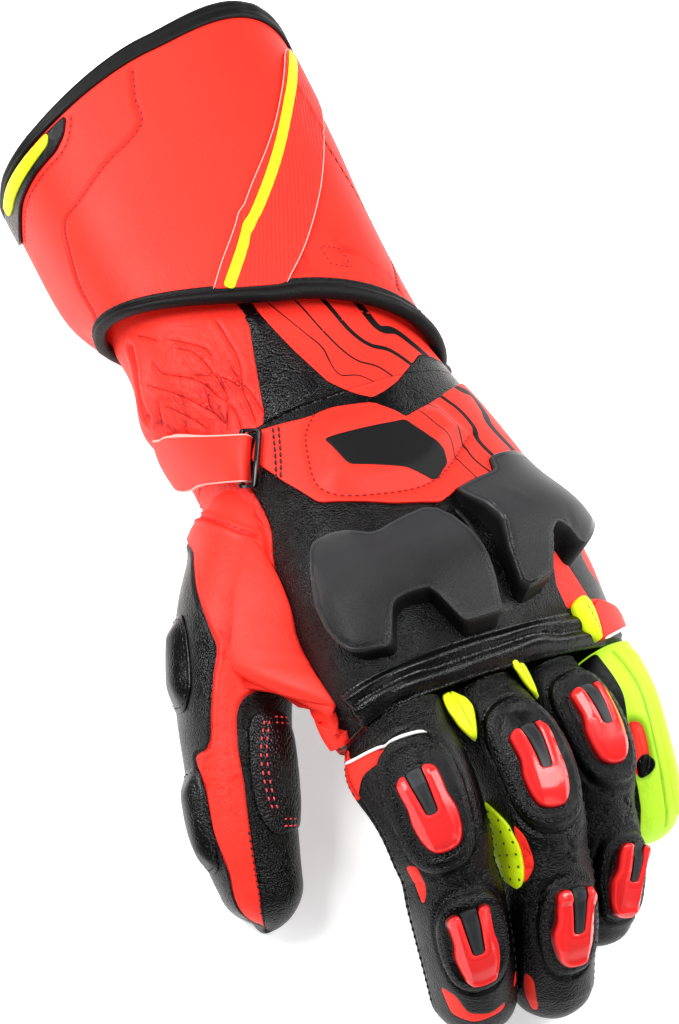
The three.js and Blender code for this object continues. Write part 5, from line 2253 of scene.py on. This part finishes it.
    @staticmethod
    def pleat_height(flat: Array, depth: Array) -> Array:
        """Two uneven round rolls across the roots of the fingers.

        Args:
            flat: flat points of the skin.
            depth: how far each lies inside the outline.

        Returns:
            One height in millimetres for each point.
        """
        grid = Grid(77)
        bend = 1.1 * grid.noise(flat[:, 1] / 14.0, flat[:, 0] * 0.02)
        part = (95.5 + flat[:, 0] + bend) / -10.3
        wave = np.abs(np.sin(2 * math.pi * part)) ** 0.65
        swell = 1.0 + 0.35 * grid.noise(flat[:, 1] / 9.0 + 5.0, part * 2.0)
        return 0.12 + 1.9 * wave * swell * smooth(depth / 2.6)

    def crotch(self) -> None:
        """The red corner and the neon leaf above the last finger, sewn over the pleats."""
        corner = Plate("crotch_corner", self.relief, self.CORNER, cut_edge(2.6), 0.8, 0.7, base=0.2).build()
        dress(corner, leather_material("crotch_corner_leather", RED), "red_leather")
        piping = cord_on("crotch_piping", self.relief, self.CORNER[4:8], 0.45, 2.7)
        dress(piping, leather_material("crotch_piping_leather", WHITE), "edge_binding")
        seam = ribbon_outline(self.relief.skin, self.LEAF_SEAM, 0.5)
        leaf = Plate("crotch_leaf", self.relief, self.LEAF, padded_edge(2.9, 0.7, 2.0), 2.0, 0.6, base=0.4,
                     fields={"seam": [seam]}).build()
        dress(leaf, leather_material("crotch_leaf_leather", NEON, {"seam": LIME_SEAM}), "neon_leather")

    def guards(self) -> None:
        """The two moulded knuckle guards and the bead between them."""
        skin = self.relief.skin
        armour = plastic_material("moulded_armour", srgb(50, 50, 51), 0.42, 0.17, 0.0)
        for name, outline, height in (
            ("knuckle_guard_inner", self.GUARD_INNER, self.inner_height),
            ("knuckle_guard_outer", self.GUARD_OUTER, self.outer_height),
        ):
            edge = rounded(skin.flat(outline), 0.9, 1.1)
            insets = (*(0.3,) * 6, 0.6)
            piece = Moulded(name, self.relief, edge, height, insets, 0.1, 1.5, lean=0.36).build()
            dress(piece, armour, "armour", name)
        bead = cord_on("guard_bead", self.relief, self.BEAD, 0.8, 0.3)
        dress(bead, armour, "armour")

    def inner_height(self, flat: Array, depth: Array) -> Array:
        """The guard beside the thumb: flush at the wrist, a cross ridge, and two thick legs.

        Args:
            flat: flat points of the skin.
            depth: how far each lies inside the outline.

        Returns:
            One height in millimetres for each point.
        """
        around = self.relief.skin.angles(flat[:, 1])
        part = np.clip((-flat[:, 0] - 51) / 44, 0.0, 1.0)
        climb = 4.4 * smooth(part / 0.62) - 0.9 * smooth((part - 0.6) / 0.5)
        right = 1.2 * smooth((122 - around) / 14) * smooth((part - 0.2) / 0.5)
        left = 1.5 * smooth((around - 146) / 14)
        dip = 0.9 * bell((around - 119) / 6) * smooth((0.45 - part) / 0.4)
        accents = 0.22 * self.accent(flat, (-74, 138), (-82, 136))
        accents = accents - 0.2 * self.accent(flat, (-66, 109), (-71, 106))
        side = smooth((around - 133) / 8) * smooth((part - 0.1) / 0.2)
        rim = (0.3 * bell((depth - 0.7) / 0.45) - 0.3 * bell((depth - 1.6) / 0.35)) * side
        return 0.8 + climb + right - left - dip + accents + 0.15 * smooth(depth / 0.3) + rim

    def outer_height(self, flat: Array, depth: Array) -> Array:
        """The guard over the other knuckles: a rolled edge beside a groove, then a broad dome.

        Args:
            flat: flat points of the skin.
            depth: how far each lies inside the outline.

        Returns:
            One height in millimetres for each point.
        """
        around = self.relief.skin.angles(flat[:, 1])
        part = np.clip((-flat[:, 0] - 42) / 46, 0.0, 1.0)
        climb = 5.4 * smooth(part / 0.6) - 1.2 * smooth((part - 0.62) / 0.5)
        crown = 1.3 * bell((around - 58) / 20)
        near = smooth((around - 82.5) / 3) * smooth((-flat[:, 0] - 60) / 8)
        rim = (0.35 * bell((depth - 0.4) / 0.25) - 0.3 * bell((depth - 0.85) / 0.2)
               + 0.35 * bell((depth - 1.35) / 0.28) - 0.25 * bell((depth - 2.0) / 0.4)) * near
        accents = 0.2 * self.accent(flat, (-58, 77), (-66, 73))
        accents = accents - 0.3 * self.accent(flat, (-70, 60), (-78, 63))
        return 0.95 + climb + crown + 0.15 * smooth(depth / 0.3) + rim + accents

    def accent(self, flat: Array, start: Place, end: Place) -> Array:
        """A short moulded crease that fades out at both ends.

        Args:
            flat: flat points of the skin.
            start: one end's station and angle.
            end: the other's.

        Returns:
            How deep in the crease each point is, from 0 to 1.
        """
        one, two = (self.relief.skin.flat(np.array(place)) for place in (start, end))
        step = (two - one) / np.linalg.norm(two - one)
        away = flat - 0.5 * (one + two)
        along, aside = away @ step, away @ np.array((-step[1], step[0]))
        return bell(along / (0.55 * np.linalg.norm(two - one))) * bell(aside / 0.9)

    def sew(self) -> None:
        """The rows of stitches in the hand."""
        under = tuple((station, -3) for station in (-8, -40, -80, -105))
        double = (
            ((-11 + 0.3 * shift, 126 + 1.3 * shift), (-27.5 + 0.3 * shift, 144.5 + 1.3 * shift))
            for shift in (0.0, -1.8)
        )
        for seam in (
            Seam(self.PANEL_SEAM, Thread.DARK, 2.1, 1.35, 0.24, 1.2),
            *(Seam(path, Thread.BLACK, 2.4, 2.1, 0.34, 1.55) for path in double),
            Seam(self.BORDER[1:], Thread.BLACK, 2.2, 1.5, 0.24, 0.1, 1.2),
            Seam(self.PALM_SEAM, Thread.RED, 2.4, 1.7, 0.28, 0.1, 1.3),
            Seam(under, Thread.BLACK, 2.4, 1.7, 0.28, 0.1, 1.4),
        ):
            self.stitcher.sew(self.relief, seam)
        self.stitcher.finish("hand", "black_leather")


@dataclass
class Digits:
    """The thumb, the four fingers, their sliders and the gussets between them."""

    skins: Skins
    hand: Relief
    reliefs: dict[str, Relief] = field(default_factory=dict)
    stitcher: Stitcher = field(default_factory=Stitcher)

    FRAMES = {
        "index": (Frame((26.5, 133), 16.5, 12.5), Frame((60.5, 116), 13.8, 12.2)),
        "middle": (Frame((28, 108), 16.5, 12.2), Frame((67.5, 103), 13, 11)),
        "ring": (Frame((22, 97), 15.5, 11), Frame((58.5, 94), 12.5, 10.2)),
        "little": (),
    }
    SLIDERS = {
        "index_slider_root": ("index", 28.5, 130, 0.93, 0.95, 6),
        "index_slider_tip": ("index", 61, 117, 0.88, 0.94, 3),
        "middle_slider_root": ("middle", 30, 107, 0.96, 0.92, -2.5),
        "middle_slider_tip": ("middle", 67, 102, 0.84, 0.92, -4),
        "ring_slider_root": ("ring", 23, 96, 0.98, 0.88, -3),
        "ring_slider_tip": ("ring", 59.5, 93, 0.84, 0.82, -11),
    }
    # One half of each, which is mirrored over v = 0
    SLIDER = (
        (-12.8, 2.7), (-12.9, 4.6), (-11.6, 6.6), (-8.0, 6.6), (-3.6, 6.3), (-1.0, 6.8), (1.0, 7.3),
        (4.4, 7.0), (7.5, 6.4), (10.4, 5.3), (12.0, 3.7), (12.7, 1.4),
    )
    SLOT = ((0.6, 1.7), (-4.0, 2.0), (-8.5, 2.35))
    INSERT = ((1.0, 1.5), (-4.0, 1.75), (-8.5, 2.1))
    HEEL = ((-13.0, 2.5), (-13.3, 0.0), (-13.0, -2.5))
    FOLD_LINES = ((-12, 4.1, -1.7), (-12, -4.1, 1.7), (-8.4, 0, 90))
    RED_PARTS = {
        "index": [
            ((38.7, 184), (39.3, 171), (44.7, 168), (49.4, 175), (47, 180), (42, 183)),
            ((73.3, 177), (75, 156), (80.8, 142), (82.4, 110), (81, 86), (83.4, 90), (84.8, 137),
             (82.2, 168)),
            ((74.5, 48), (78.6, 56), (79.4, 69), (76.5, 62)),
            ((0.4, 214), (0.4, 196), (5, 196), (9, 174), (12.2, 150), (13.4, 163), (13.8, 186), (18, 205),
             (17, 222)),
        ],
        "middle": [
            ((79.4, 172), (81.2, 160), (91.2, 159), (92.2, 172), (87.5, 176), (83, 176)),
            ((40.3, 165), (44, 153), (50.9, 148), (55, 162), (55, 176), (47.8, 166)),
        ],
        "ring": [((68, 160), (72, 150), (78, 152), (76, 164))],
        "little": [((21.3, 137), (21.2, 126.3), (22.1, 113.9), (25.3, 110.5), (32, 110.5), (34.6, 117),
                    (35.6, 133), (34.2, 141), (26, 140))],
    }
    ROOT_PIPING = ((5, 202), (7.6, 184), (9.7, 165), (11.2, 146), (12, 128), (12.3, 110), (12.2, 102))
    LITTLE_HOLE = ((31.8, 135), (30, 126), (29.5, 114.9), (32.2, 104), (34, 106), (35.4, 119), (36, 135.7))
    BLACK_PARTS = (
        (0.5, 128), (14.5, 127), (20.9, 136), (29.4, 144), (36.5, 138), (44.3, 134), (60, 142), (60, 215),
        (0.5, 215),
    )
    THUMB_INNER = (
        (69, 15), (70.3, 35), (71.5, 62), (72.8, 80), (74.5, 92), (76.5, 99), (80.6, 104), (90.4, 106),
        (99, 103), (109, 103), (131, 103), (140, 112), (143, 129),
    )
    THUMB_OUTER = (
        (136.5, 153), (122.3, 141), (111.7, 151), (99.3, 152), (93, 161), (89.5, 160), (89, 142), (86, 135),
        (71, 126), (60.3, 124), (53, 138), (45, 154), (34, 170), (27, 192), (22, 200),
    )
    THUMB_FOLD = ((19, 186), (23.9, 161), (27, 138), (28.6, 122), (29.6, 110), (30, 96))
    # Spacing of a finger's rows, angle of the thumb web's free edge, and the leathers' thickness
    ROW, FREE_EDGE, WEB_WALL = 0.62, 206.0, 2.2
    LEAF_LENGTH, LEAF_WALL = 16.0, 1.4
    WEB_COLUMNS = "row reach thumb station hand free"
    WEB = (
        (29.5, 107, -44.2, 174.5, -50), (37, 111, -52.8, 175, -54), (44, 115, -61, 176.8, -58),
        (51, 117, -68.3, 180, -61), (57, 119, -73.8, 181.6, -64), (62, 119, -80.1, 181, -67),
        (66, 116, -87, 179.8, -70), (69, 107, -93, 179.2, -73), (70.8, 90, -97.5, 180.2, -76),
        (70.8, 68, -100.5, 182, -80), (70.8, 66, -103, 183.5, -87), (70.8, 66, -105, 185, -95),
        (70.8, 66, -106.3, 188, -103),
    )
    THUMB_PADS = {
        "thumb_pad_upper": ((51.4, 200), (50.5, 172), (56, 163), (63.8, 157), (72, 153), (77.1, 165),
                            (76, 192), (70.9, 202), (61, 204)),
        "thumb_pad_lower": ((93, 160), (99, 152.5), (106, 151), (114, 151), (121, 157), (122, 186),
                            (114, 199), (106, 201), (98, 199), (93, 190)),
    }
    WINDOW = ((31.5, 196), (33, 190), (40.3, 170), (46.5, 163), (54.5, 164), (57, 172), (55, 190), (47, 208))
    LITTLE_PAD = (
        (3, 84), (3, 12), (12, 8), (22, 10), (30, 8), (40, 10), (47, 24), (48, 66), (40, 82), (30, 86),
        (20, 84), (10, 86),
    )
    # The fingers beside each leaf, its first reach, its share of the gap and its height over it
    LEAVES = (("index", "middle", 0.5, 0.88, 1.6), ("middle", "ring", -4.0, 0.66, 1.6),
              ("ring", "little", 6.0, 0.7, -3.4))
    GRIP = (
        (79, 50), (79.6, 88), (84, 94), (96.6, 96), (106, 94), (111.7, 89), (114.3, 79), (112.6, 37),
        (105, 23), (96.6, 24), (87, 33),
    )

    def build(self) -> None:
        """Builds and dresses all digits."""
        for name, skin in self.skins.fingers.items():
            self.reliefs[name] = Relief(skin, *self.finger_relief(name, skin))
            self.finger(name, self.reliefs[name])
        self.thumb()
        self.thumb_web()
        self.sliders()
        self.gussets()
        self.stitcher.finish("finger", "black_leather")

    def finger_relief(self, name: str, skin: FingerSkin) -> list[object]:
        """The seams, frames and wrinkles of one finger.

        Args:
            name: the finger.
            skin: its skin.

        Returns:
            The features of its relief.
        """
        reaches = (1, 0.5 * skin.length, skin.length - 10)
        sides = (48.0, 205.0) if name != "little" else (20.0, 160.0)
        features: list[object] = list(self.FRAMES[name])
        features += [Groove(tuple((reach, angle) for reach in reaches), 0.5, 0.7, 0.3) for angle in sides]
        if name == "little":
            features += [
                Mound((20, 22), 15, 24, -2.6), Mound((24, 90), 14, 18, 0.6),
                Groove(((3, 104), (14, 98), (26, 100), (38, 96), (50, 90)), 0.4, 0.6, 0.3),
                Groove(self.RED_PARTS["little"][0], 0.8, 1.0, 0.5, True),
            ]
            return features
        gap, middle = self.between(name)
        features += [
            Wrinkles((gap, middle), 4.0, 20, 0.5, 2.2, 9, 11 + len(name)),
            Wrinkles((4.5, middle + 4), 4, 20, 0.4, 2.2, 10, 31 + len(name)),
            Mound((gap, middle), 4.4, 26, -1.5), Mound((0.5 * gap, middle - 50), 12, 8, 0.6),
        ]
        if name == "index":
            features.append(Mound((11, 212), 14, 10, 4.2))
        return features

    def between(self, name: str) -> Place:
        """The place between a finger's two frames.

        Args:
            name: the finger.

        Returns:
            Its reach and angle.
        """
        first, second = self.FRAMES[name]
        gap = 0.5 * (first.place[0] + first.half_length + second.place[0] - second.half_length)
        return gap, 0.5 * (first.place[1] + second.place[1])

    def finger_folds(self, name: str, skin: FingerSkin) -> Folds:
        """Where one finger's leather is creased: at its root, between its frames and at its tip.

        Args:
            name: the finger.
            skin: its skin.

        Returns:
            The patches.
        """
        if name == "little":
            return Folds((14, 60, 10, 20, 0.2), (42, 90, 12, 16, 0.3))
        gap, middle = self.between(name)
        reach, angle = self.FRAMES[name][0].place
        tip = skin.length - 6
        return Folds((gap, middle, 3.5, 16, 0.6), (2, middle, 4, 16, 0.4), (tip, middle, 6, 14, 0.4),
                     (reach, angle + 52, 14, 5, 0.35))

    def finger(self, name: str, relief: Relief) -> None:
        """One finger's leather and its stitches.

        Args:
            name: the finger.
            relief: its seams and folds.
        """
        skin = relief.skin
        places = skin.length * (1 - (1 - np.linspace(0, ALMOST, int(skin.length / self.ROW))) ** 1.15)
        little = name == "little"
        fields = {"red": self.RED_PARTS[name]}
        leathers = {"red": RED}
        if little:
            fields = {"black": [self.BLACK_PARTS], **fields, "hole": [self.LITTLE_HOLE]}
            leathers = {"black": BLACK, **leathers, "hole": SOFT_BLACK}
        shell = Shell(name + "_finger", relief, places, 135, FINGER_WALL, closed=True, domed=True,
                      fields=fields, corner=1.5, folds=self.finger_folds(name, skin)).build()
        slot = "neon_leather" if little else "black_leather"
        material = leather_material(name + "_leather", LIME if little else BLACK, leathers, worn=True)
        dress(shell, material, slot, name + "_finger")
        if name == "index":
            piping = cord_on("root_piping", relief, self.ROOT_PIPING, 0.5, 0.45)
            dress(piping, leather_material("piping_leather", WHITE), "edge_binding")
        for frame in self.FRAMES[name]:
            oval = frame.oval(skin, -2.5)
            path = tuple((u, float(skin.angles(v))) for u, v in oval)
            self.stitcher.sew(relief, Seam(path, Thread.BLACK, 1.9, 1.35, 0.24, 0.05, closed=True))
        for angle, aside in ((204, 1.3), (49, -1.3)):
            path = tuple((reach, angle) for reach in (2, 0.5 * skin.length, skin.length - 10))
            self.stitcher.sew(relief, Seam(path, Thread.BLACK, 2.4, 1.7, 0.26, 0.08, aside))

    def thumb(self) -> None:
        """The thumb's leather, its laid pads, the grip patch and their stitches."""
        skin = self.skins.thumb
        red = ((8, 12), (46, 12), (62, 12), *self.THUMB_INNER, *self.THUMB_OUTER, (8, 200))
        relief = Relief(
            skin,
            Groove(self.THUMB_INNER, 0.5, 0.6, 0.5), Groove(self.THUMB_OUTER, 0.5, 0.6, 0.5),
            Groove(self.THUMB_FOLD, 0.9, 0.6, 0.7), Mound((25, 186), 6, 12, 2.6),
            Wrinkles((92, 125), 16, 13, 0.12, 2.2, 9, 41, 12), Wrinkles((60, 95), 14, 20, 0.2, 4, 9, 43, 30),
            Mound((66, 112), 14, 12, 0.5), Mound((80, 60), 14, 10, -0.6), Mound((136, 192), 16, 26, -4.4),
        )
        folds = Folds((96, 125, 22, 10, 0.22), (120, 60, 20, 14, 0.25), (34, 150, 10, 14, 0.3),
                      (76, 40, 12, 12, 0.4))
        places = skin.length * (1 - (1 - np.linspace(0.1, ALMOST, 215)) ** 1.1)
        shell = Shell("thumb", relief, places, 156, FINGER_WALL, closed=True, domed=True,
                      fields={"red": [red]}, folds=folds).build()
        material = leather_material("thumb_leather", BLACK, {"red": RED}, worn=True)
        dress(shell, material, "red_leather", "thumb")
        for name, outline in self.THUMB_PADS.items():
            pad = Plate(name, relief, outline, padded_edge(0.5, 3.0, 7.5), 3.0, 0.9).build()
            dress(pad, leather_material(name + "_leather", SOFT_BLACK), "black_leather", name)
            self.stitcher.sew(relief, Seam(outline, Thread.BLACK, 2.3, 1.6, 0.24, 0.9, 1.1, True))
        grip = Plate("thumb_grip", relief, self.GRIP, padded_edge(1.2, 0.5, 3.0), 2.5, 0.8).build()
        dress(grip, leather_material("grip_leather", STRETCHED), "black_leather", "thumb_grip")
        sew = self.stitcher.sew
        for angle in (82, 77):
            path = ((82, angle), (92, angle + 6), (104, angle + 3), (109.5, angle - 4))
            sew(relief, Seam(path, Thread.ROSE, 2.4, 1.6, 0.28, 1.75))
        for reach in (81.2, 83.0, 110.5, 112.3):
            sew(relief, Seam(((reach, 72), (reach, 44)), Thread.ROSE, 2.2, 1.5, 0.28, 1.7))
        tip = ((112, 103), (122, 103), (131, 103), (138, 110))
        sew(relief, Seam(tip, Thread.BLACK, 1.9, 0.75, 0.42, 0.3, 0.5))
        sew(relief, Seam(self.THUMB_INNER[:9], Thread.BLACK, 2.1, 1.2, 0.2, 0.15, -0.7))

    def thumb_web(self) -> None:
        """The red leather that runs from the thumb over the crotch to the side of the hand."""
        hand, thumb = self.skins.hand, self.skins.thumb
        table = SizeTable(self.WEB_COLUMNS, [(k, *row) for k, row in enumerate(self.WEB)])
        rows = table.at(np.linspace(0, len(self.WEB) - 1, 84))
        past = smooth((rows["row"] - 8.5) / 1.5)[:, None]
        side = np.full(len(past), self.FREE_EDGE)
        swollen = [self.hand.swell(hand.flat(np.stack(place, axis=-1)))
                   for place in ((rows["free"], side), (rows["station"], rows["hand"]))]
        edge = hand.points(rows["free"], side, 0.8 + 3.4 * smooth((rows["free"] + 90) / 12) + swollen[0])
        one = thumb.points(rows["reach"], rows["thumb"], -0.25) * (1 - past) + edge * past
        two = hand.points(rows["station"], rows["hand"], 0.5 + 1.5 * past[:, 0] + swollen[1])
        part = np.linspace(0.0, 1.0, 34)
        flat = one[:, None] * (1 - part)[None, :, None] + two[:, None] * part[None, :, None]
        across, along = two - one, np.gradient(0.5 * (one + two), axis=0)
        out = unit(np.cross(along, across))
        out *= np.sign(out[:, 2:3])
        width = np.linalg.norm(across, axis=1)[:, None]
        swell = (0.05 * width + 1.4 * MM * past) * np.sin(math.pi * part[None])
        grid = Grid(19)
        crease = 0.12 * MM * grid.layered(rows["reach"][:, None] / 3.0, part[None] * 2.0)
        sink = 0.5 * MM * (np.abs(part - 0.5) * 2)[None] ** 6
        top = flat + out[:, None] * (swell + crease - sink)[..., None]
        under = top - out[:, None] * self.WEB_WALL * MM
        piece = swept("thumb_web", np.concatenate([top, under[:, ::-1]], axis=1), False, True)
        rim = np.concatenate([part, part[::-1]])[None].repeat(len(one), axis=0)
        uneven = 0.6 + 0.4 * grid.noise(rows["reach"][:, None], rim)
        note(piece, "shade", 1.1 * smooth((rim - 0.955) / 0.03) * uneven)
        dress(piece, leather_material("thumb_web_leather", RED), "red_leather")

    def sliders(self) -> None:
        """The gloss sliders and the inserts in their slots."""
        slider = plastic_material("gloss_slider", srgb(232, 46, 46), 0.32, 0.01, 0.35)
        insert = plastic_material("slider_inlay", srgb(44, 45, 46), 0.5, 0.05, 0.0)
        outer = (*self.SLIDER, *mirrored(self.SLIDER), *mirrored(self.SLOT), *self.SLOT)
        inner = (*self.HEEL, *mirrored(self.INSERT), *self.INSERT)
        for name, (finger, reach, angle, long, wide, turn) in self.SLIDERS.items():
            relief = self.reliefs[finger]
            middle = relief.skin.flat(np.array((reach, angle)))
            cos, sin = math.cos(math.radians(turn)), math.sin(math.radians(turn))
            frame = np.array([[long * cos, -long * sin], [wide * sin, wide * cos]])
            back = np.linalg.inv(frame)
            places = [middle + np.array((u, v)) @ frame for u, v, _ in self.FOLD_LINES]
            lines = tuple((*place, lean - turn) for place, (_, _, lean) in zip(places, self.FOLD_LINES))
            for part, corners, height, radius, material, slot in (
                (name, outer, self.slider_height, 0.9, slider, "slider"),
                (name + "_insert", inner, self.insert_height, 0.4, insert, "slider_insert"),
            ):
                edge = rounded(middle + np.array(corners) @ frame, radius, 0.8)
                shape = self.placed(height, middle, back)
                piece = Moulded(part, relief, edge, shape, (0.3, 0.3), 0.16, 1.25, lines, sharp=20.0,
                                upright=3.0, about=middle).build()
                dress(piece, material, slot, part)

    @staticmethod
    def placed(height: Heights, middle: Array, back: Array) -> Heights:
        """A height function that is given places on the finger.

        Args:
            height: the function in the slider's own frame.
            middle: the slider's middle.
            back: the matrix that turns steps back into that frame.

        Returns:
            The function for places on the finger.
        """
        def shape(flat: Array, depth: Array) -> Array:
            """The height at each place and depth."""
            return height((flat - middle) @ back, depth)

        return shape

    @staticmethod
    def slider_height(flat: Array, depth: Array) -> Array:
        """The slider's height: a ridge down each arm, sloping sides and a toe that rolls down.

        Args:
            flat: points in the slider's own frame.
            depth: how far each lies inside the outline.

        Returns:
            One height in millimetres for each point.
        """
        u, v = flat[:, 0], np.abs(flat[:, 1])
        ridge = 4.1 - 0.03 * (u + 12)
        side = np.maximum(0.0, v - ridge) * 0.5
        inner = np.maximum(0.0, ridge - v) * 0.07
        line = 0.1 * bell((v - ridge) / 0.35) * smooth((8 - u) / 3)
        toe = np.maximum(0.0, u - 6.0) ** 2 * 0.045
        heel = np.maximum(0.0, -9.0 - u) ** 2 * 0.07
        return 3.1 - side - inner - toe - heel + line + 0.45 * smooth(depth / 0.6) - 0.3

    @staticmethod
    def insert_height(flat: Array, depth: Array) -> Array:
        """The insert's height: a facet that climbs from the heel, then a flat one in the slot."""
        u = flat[:, 0]
        return 2.9 - np.maximum(0.0, -8.4 - u) * 0.36

    def gussets(self) -> None:
        """The neon windows and the webs between the fingers."""
        for finger, name, outline, leather, rim in (
            ("middle", "middle_side_gusset", self.WINDOW, PERFORATED, 0.9),
            ("little", "little_finger_pad", self.LITTLE_PAD, LIME, 0.25),
        ):
            piece = Plate(name, self.reliefs[finger], outline, padded_edge(rim, 0.4, 3.0), 1.6, 0.7).build()
            dress(piece, leather_material(name + "_leather", leather), "neon_leather", name)
        fingers = self.skins.fingers
        for near, far, *sizes in self.LEAVES:
            self.web(f"{near}_{far}_gusset", fingers[near], fingers[far], *sizes)

    def web(
        self, name: str, near: FingerSkin, far: FingerSkin, start: float, wide: float, rise: float
    ) -> None:
        """The leaf of leather in the crotch between two fingers, with its middle seam.

        Args:
            name: the piece.
            near: the skin on its thumb side.
            far: the skin on its other side.
            start: the reach where it begins.
            wide: its width as a share of the gap.
            rise: its height over the gap in millimetres.
        """
        along = np.linspace(0.0, 1.0, 26)
        part = np.linspace(-1.0, 1.0, 21)
        reach = start + self.LEAF_LENGTH * along
        width = np.sin(math.pi * np.clip(0.1 + 0.9 * along, 0, 1) ** 0.75) ** 0.8
        one = near.points(reach, np.full_like(reach, 62.0), 0.6)
        two = far.points(reach, np.full_like(reach, 140.0), 0.6)
        middle = 0.5 * (one + two)
        half = 0.5 * (two - one) * wide
        grid = Grid(len(name))
        sink = (0.3 + 1.2 * (1 - width[:, None]) + 1.2 * part[None] ** 2) * MM
        seam = 0.9 * MM * bell(part[None] / 0.08)
        pucker = 0.35 * MM * grid.noise(reach[:, None] / 2.2, part[None] * 1.5)
        top = middle[:, None] + half[:, None] * (part[None] * width[:, None])[..., None]
        climb = 0.9 * max(0.0, -start) * (1 - smooth(along * 1.4))
        top[..., 2] += (rise + 1.6 * np.sin(math.pi * along) + climb)[:, None] * MM - sink - seam + pucker
        under = top.copy()
        under[..., 2] -= self.LEAF_WALL * MM
        rings = np.concatenate([top, under[:, ::-1]], axis=1)
        piece = swept(name, rings, False, True)
        leaf = np.abs(np.concatenate([part, part[::-1]]))[None].repeat(len(along), axis=0)
        note(piece, "shade", 0.9 * bell(leaf / 0.07))
        dress(piece, leather_material(name + "_leather", NEON), "neon_leather", name)


@dataclass
class Studio:
    """The floor, the lights, the world and the camera."""

    azimuth: float = -42.0
    elevation: float = 60.0
    roll: float = 15.0
    target: tuple[float, float, float] = (8.0, -0.5, 34.0)
    distance: float = 850.0
    lens: float = 100.0

    # Each light's place and size in millimetres and its power in watts
    LIGHTS = (
        ("key", (-420, 260, 620), 380, 7.0),
        ("top", (60, 420, 700), 460, 2.4),
        ("crown", (300, -250, 720), 260, 3.4),
        ("front", (60, -680, 330), 240, 0.4),
        ("side", (620, -60, 320), 300, 2.2),
    )

    def build(self) -> None:
        """Sets up the whole studio."""
        scene = bpy.context.scene
        scene.view_settings.view_transform = "Standard"
        self.camera(scene)
        self.floor()
        for name, place, size, power in self.LIGHTS:
            self.light(name, place, size, power)
        scene.world = bpy.data.worlds.new("studio")
        scene.world.use_nodes = True
        background = scene.world.node_tree.nodes["Background"].inputs
        background["Color"].default_value, background["Strength"].default_value = (0.95, 0.97, 1.0, 1.0), 0.1

    def camera(self, scene: bpy.types.Scene) -> None:
        """The camera at the photograph's angle.

        Args:
            scene: the scene that it is for.
        """
        turn, climb, roll = (math.radians(value) for value in (self.azimuth, self.elevation, self.roll))
        back = Vector((math.sin(turn) * math.cos(climb), -math.cos(turn) * math.cos(climb), math.sin(climb)))
        level = Vector((math.cos(turn), math.sin(turn), 0.0))
        above = back.cross(level)
        right = level * math.cos(roll) + above * math.sin(roll)
        up = above * math.cos(roll) - level * math.sin(roll)
        data = bpy.data.cameras.new("camera")
        data.lens, data.sensor_width, data.sensor_height, data.sensor_fit = self.lens, 36.0, 36.0, "VERTICAL"
        data.clip_start, data.clip_end = 0.05, 20.0
        made = bpy.data.objects.new("camera", data)
        matrix = Matrix((right, up, back)).transposed().to_4x4()
        matrix.translation = (Vector(self.target) + back * self.distance) * MM
        made.matrix_world = matrix
        scene.collection.objects.link(made)
        scene.camera = made

    def floor(self) -> None:
        """The pale floor."""
        size = 6.0
        points = np.array([(-size, -size, 0), (size, -size, 0), (size, size, 0), (-size, size, 0)], float)
        made = object_from("floor", points, [(0, 1, 2, 3)])
        recipe = Recipe("paper")
        made.data.materials.append(recipe.finish(recipe.noise(3.0), 0.01, {
            "Base Color": (0.96, 0.96, 0.96), "Roughness": 0.9,
            "Emission Color": (1.0, 1.0, 1.0), "Emission Strength": 0.55
        }))

    def light(self, name: str, place: tuple[float, float, float], size: float, power: float) -> None:
        """A soft square light that faces the glove.

        Args:
            name: the light's name.
            place: its place in millimetres.
            size: length of its side in millimetres.
            power: its power in watts.
        """
        data = bpy.data.lights.new(name, "AREA")
        data.size, data.energy = size * MM, power
        made = bpy.data.objects.new(name, data)
        made.location = Vector(place) * MM
        away = made.location - Vector(self.target) * MM
        made.rotation_euler = away.to_track_quat("Z", "Y").to_euler()
        bpy.context.scene.collection.objects.link(made)


def main() -> None:
    """Builds the glove and its studio in order."""
    logging.basicConfig(level=logging.INFO, format="%(message)s")
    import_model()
    skins = Skins()
    relief = Relief(
        skins.hand,
        Creases(Wrist.CREASES),
        Wrinkles((6, 160), 15, 32, 0.2, 7, 10, 51, 30, 0.3),
        Groove(((40, 171.2), (35.3, 175.9), (30.4, 179.5), (23.8, 180.4), (18.7, 180.2)), 1.1, 1.5, 0.5),
        Wrinkles((-50, 300), 40, 40, 0.4, 9, 14, 54, 0, 0.2),
        Mound((19, 192), 12, 24, 5.0),
        Mound((-78, 90.5), 13, 2.6, 0.9),
        Mound((-103, 207), 14, 11, 4.2),
        Groove(Hand.BORDER[1:], 0.5, 0.8),
        Groove(Hand.PALM_SEAM, 0.5, 0.8),
        Mound((-86, 120), 6, 14, 0.8),
    )
    Gauntlet(skins.gauntlet).build()
    Wrist(relief).build()
    Hand(relief).build()
    Digits(skins, relief).build()
    Studio().build()


if __name__ == "__main__":
    main()
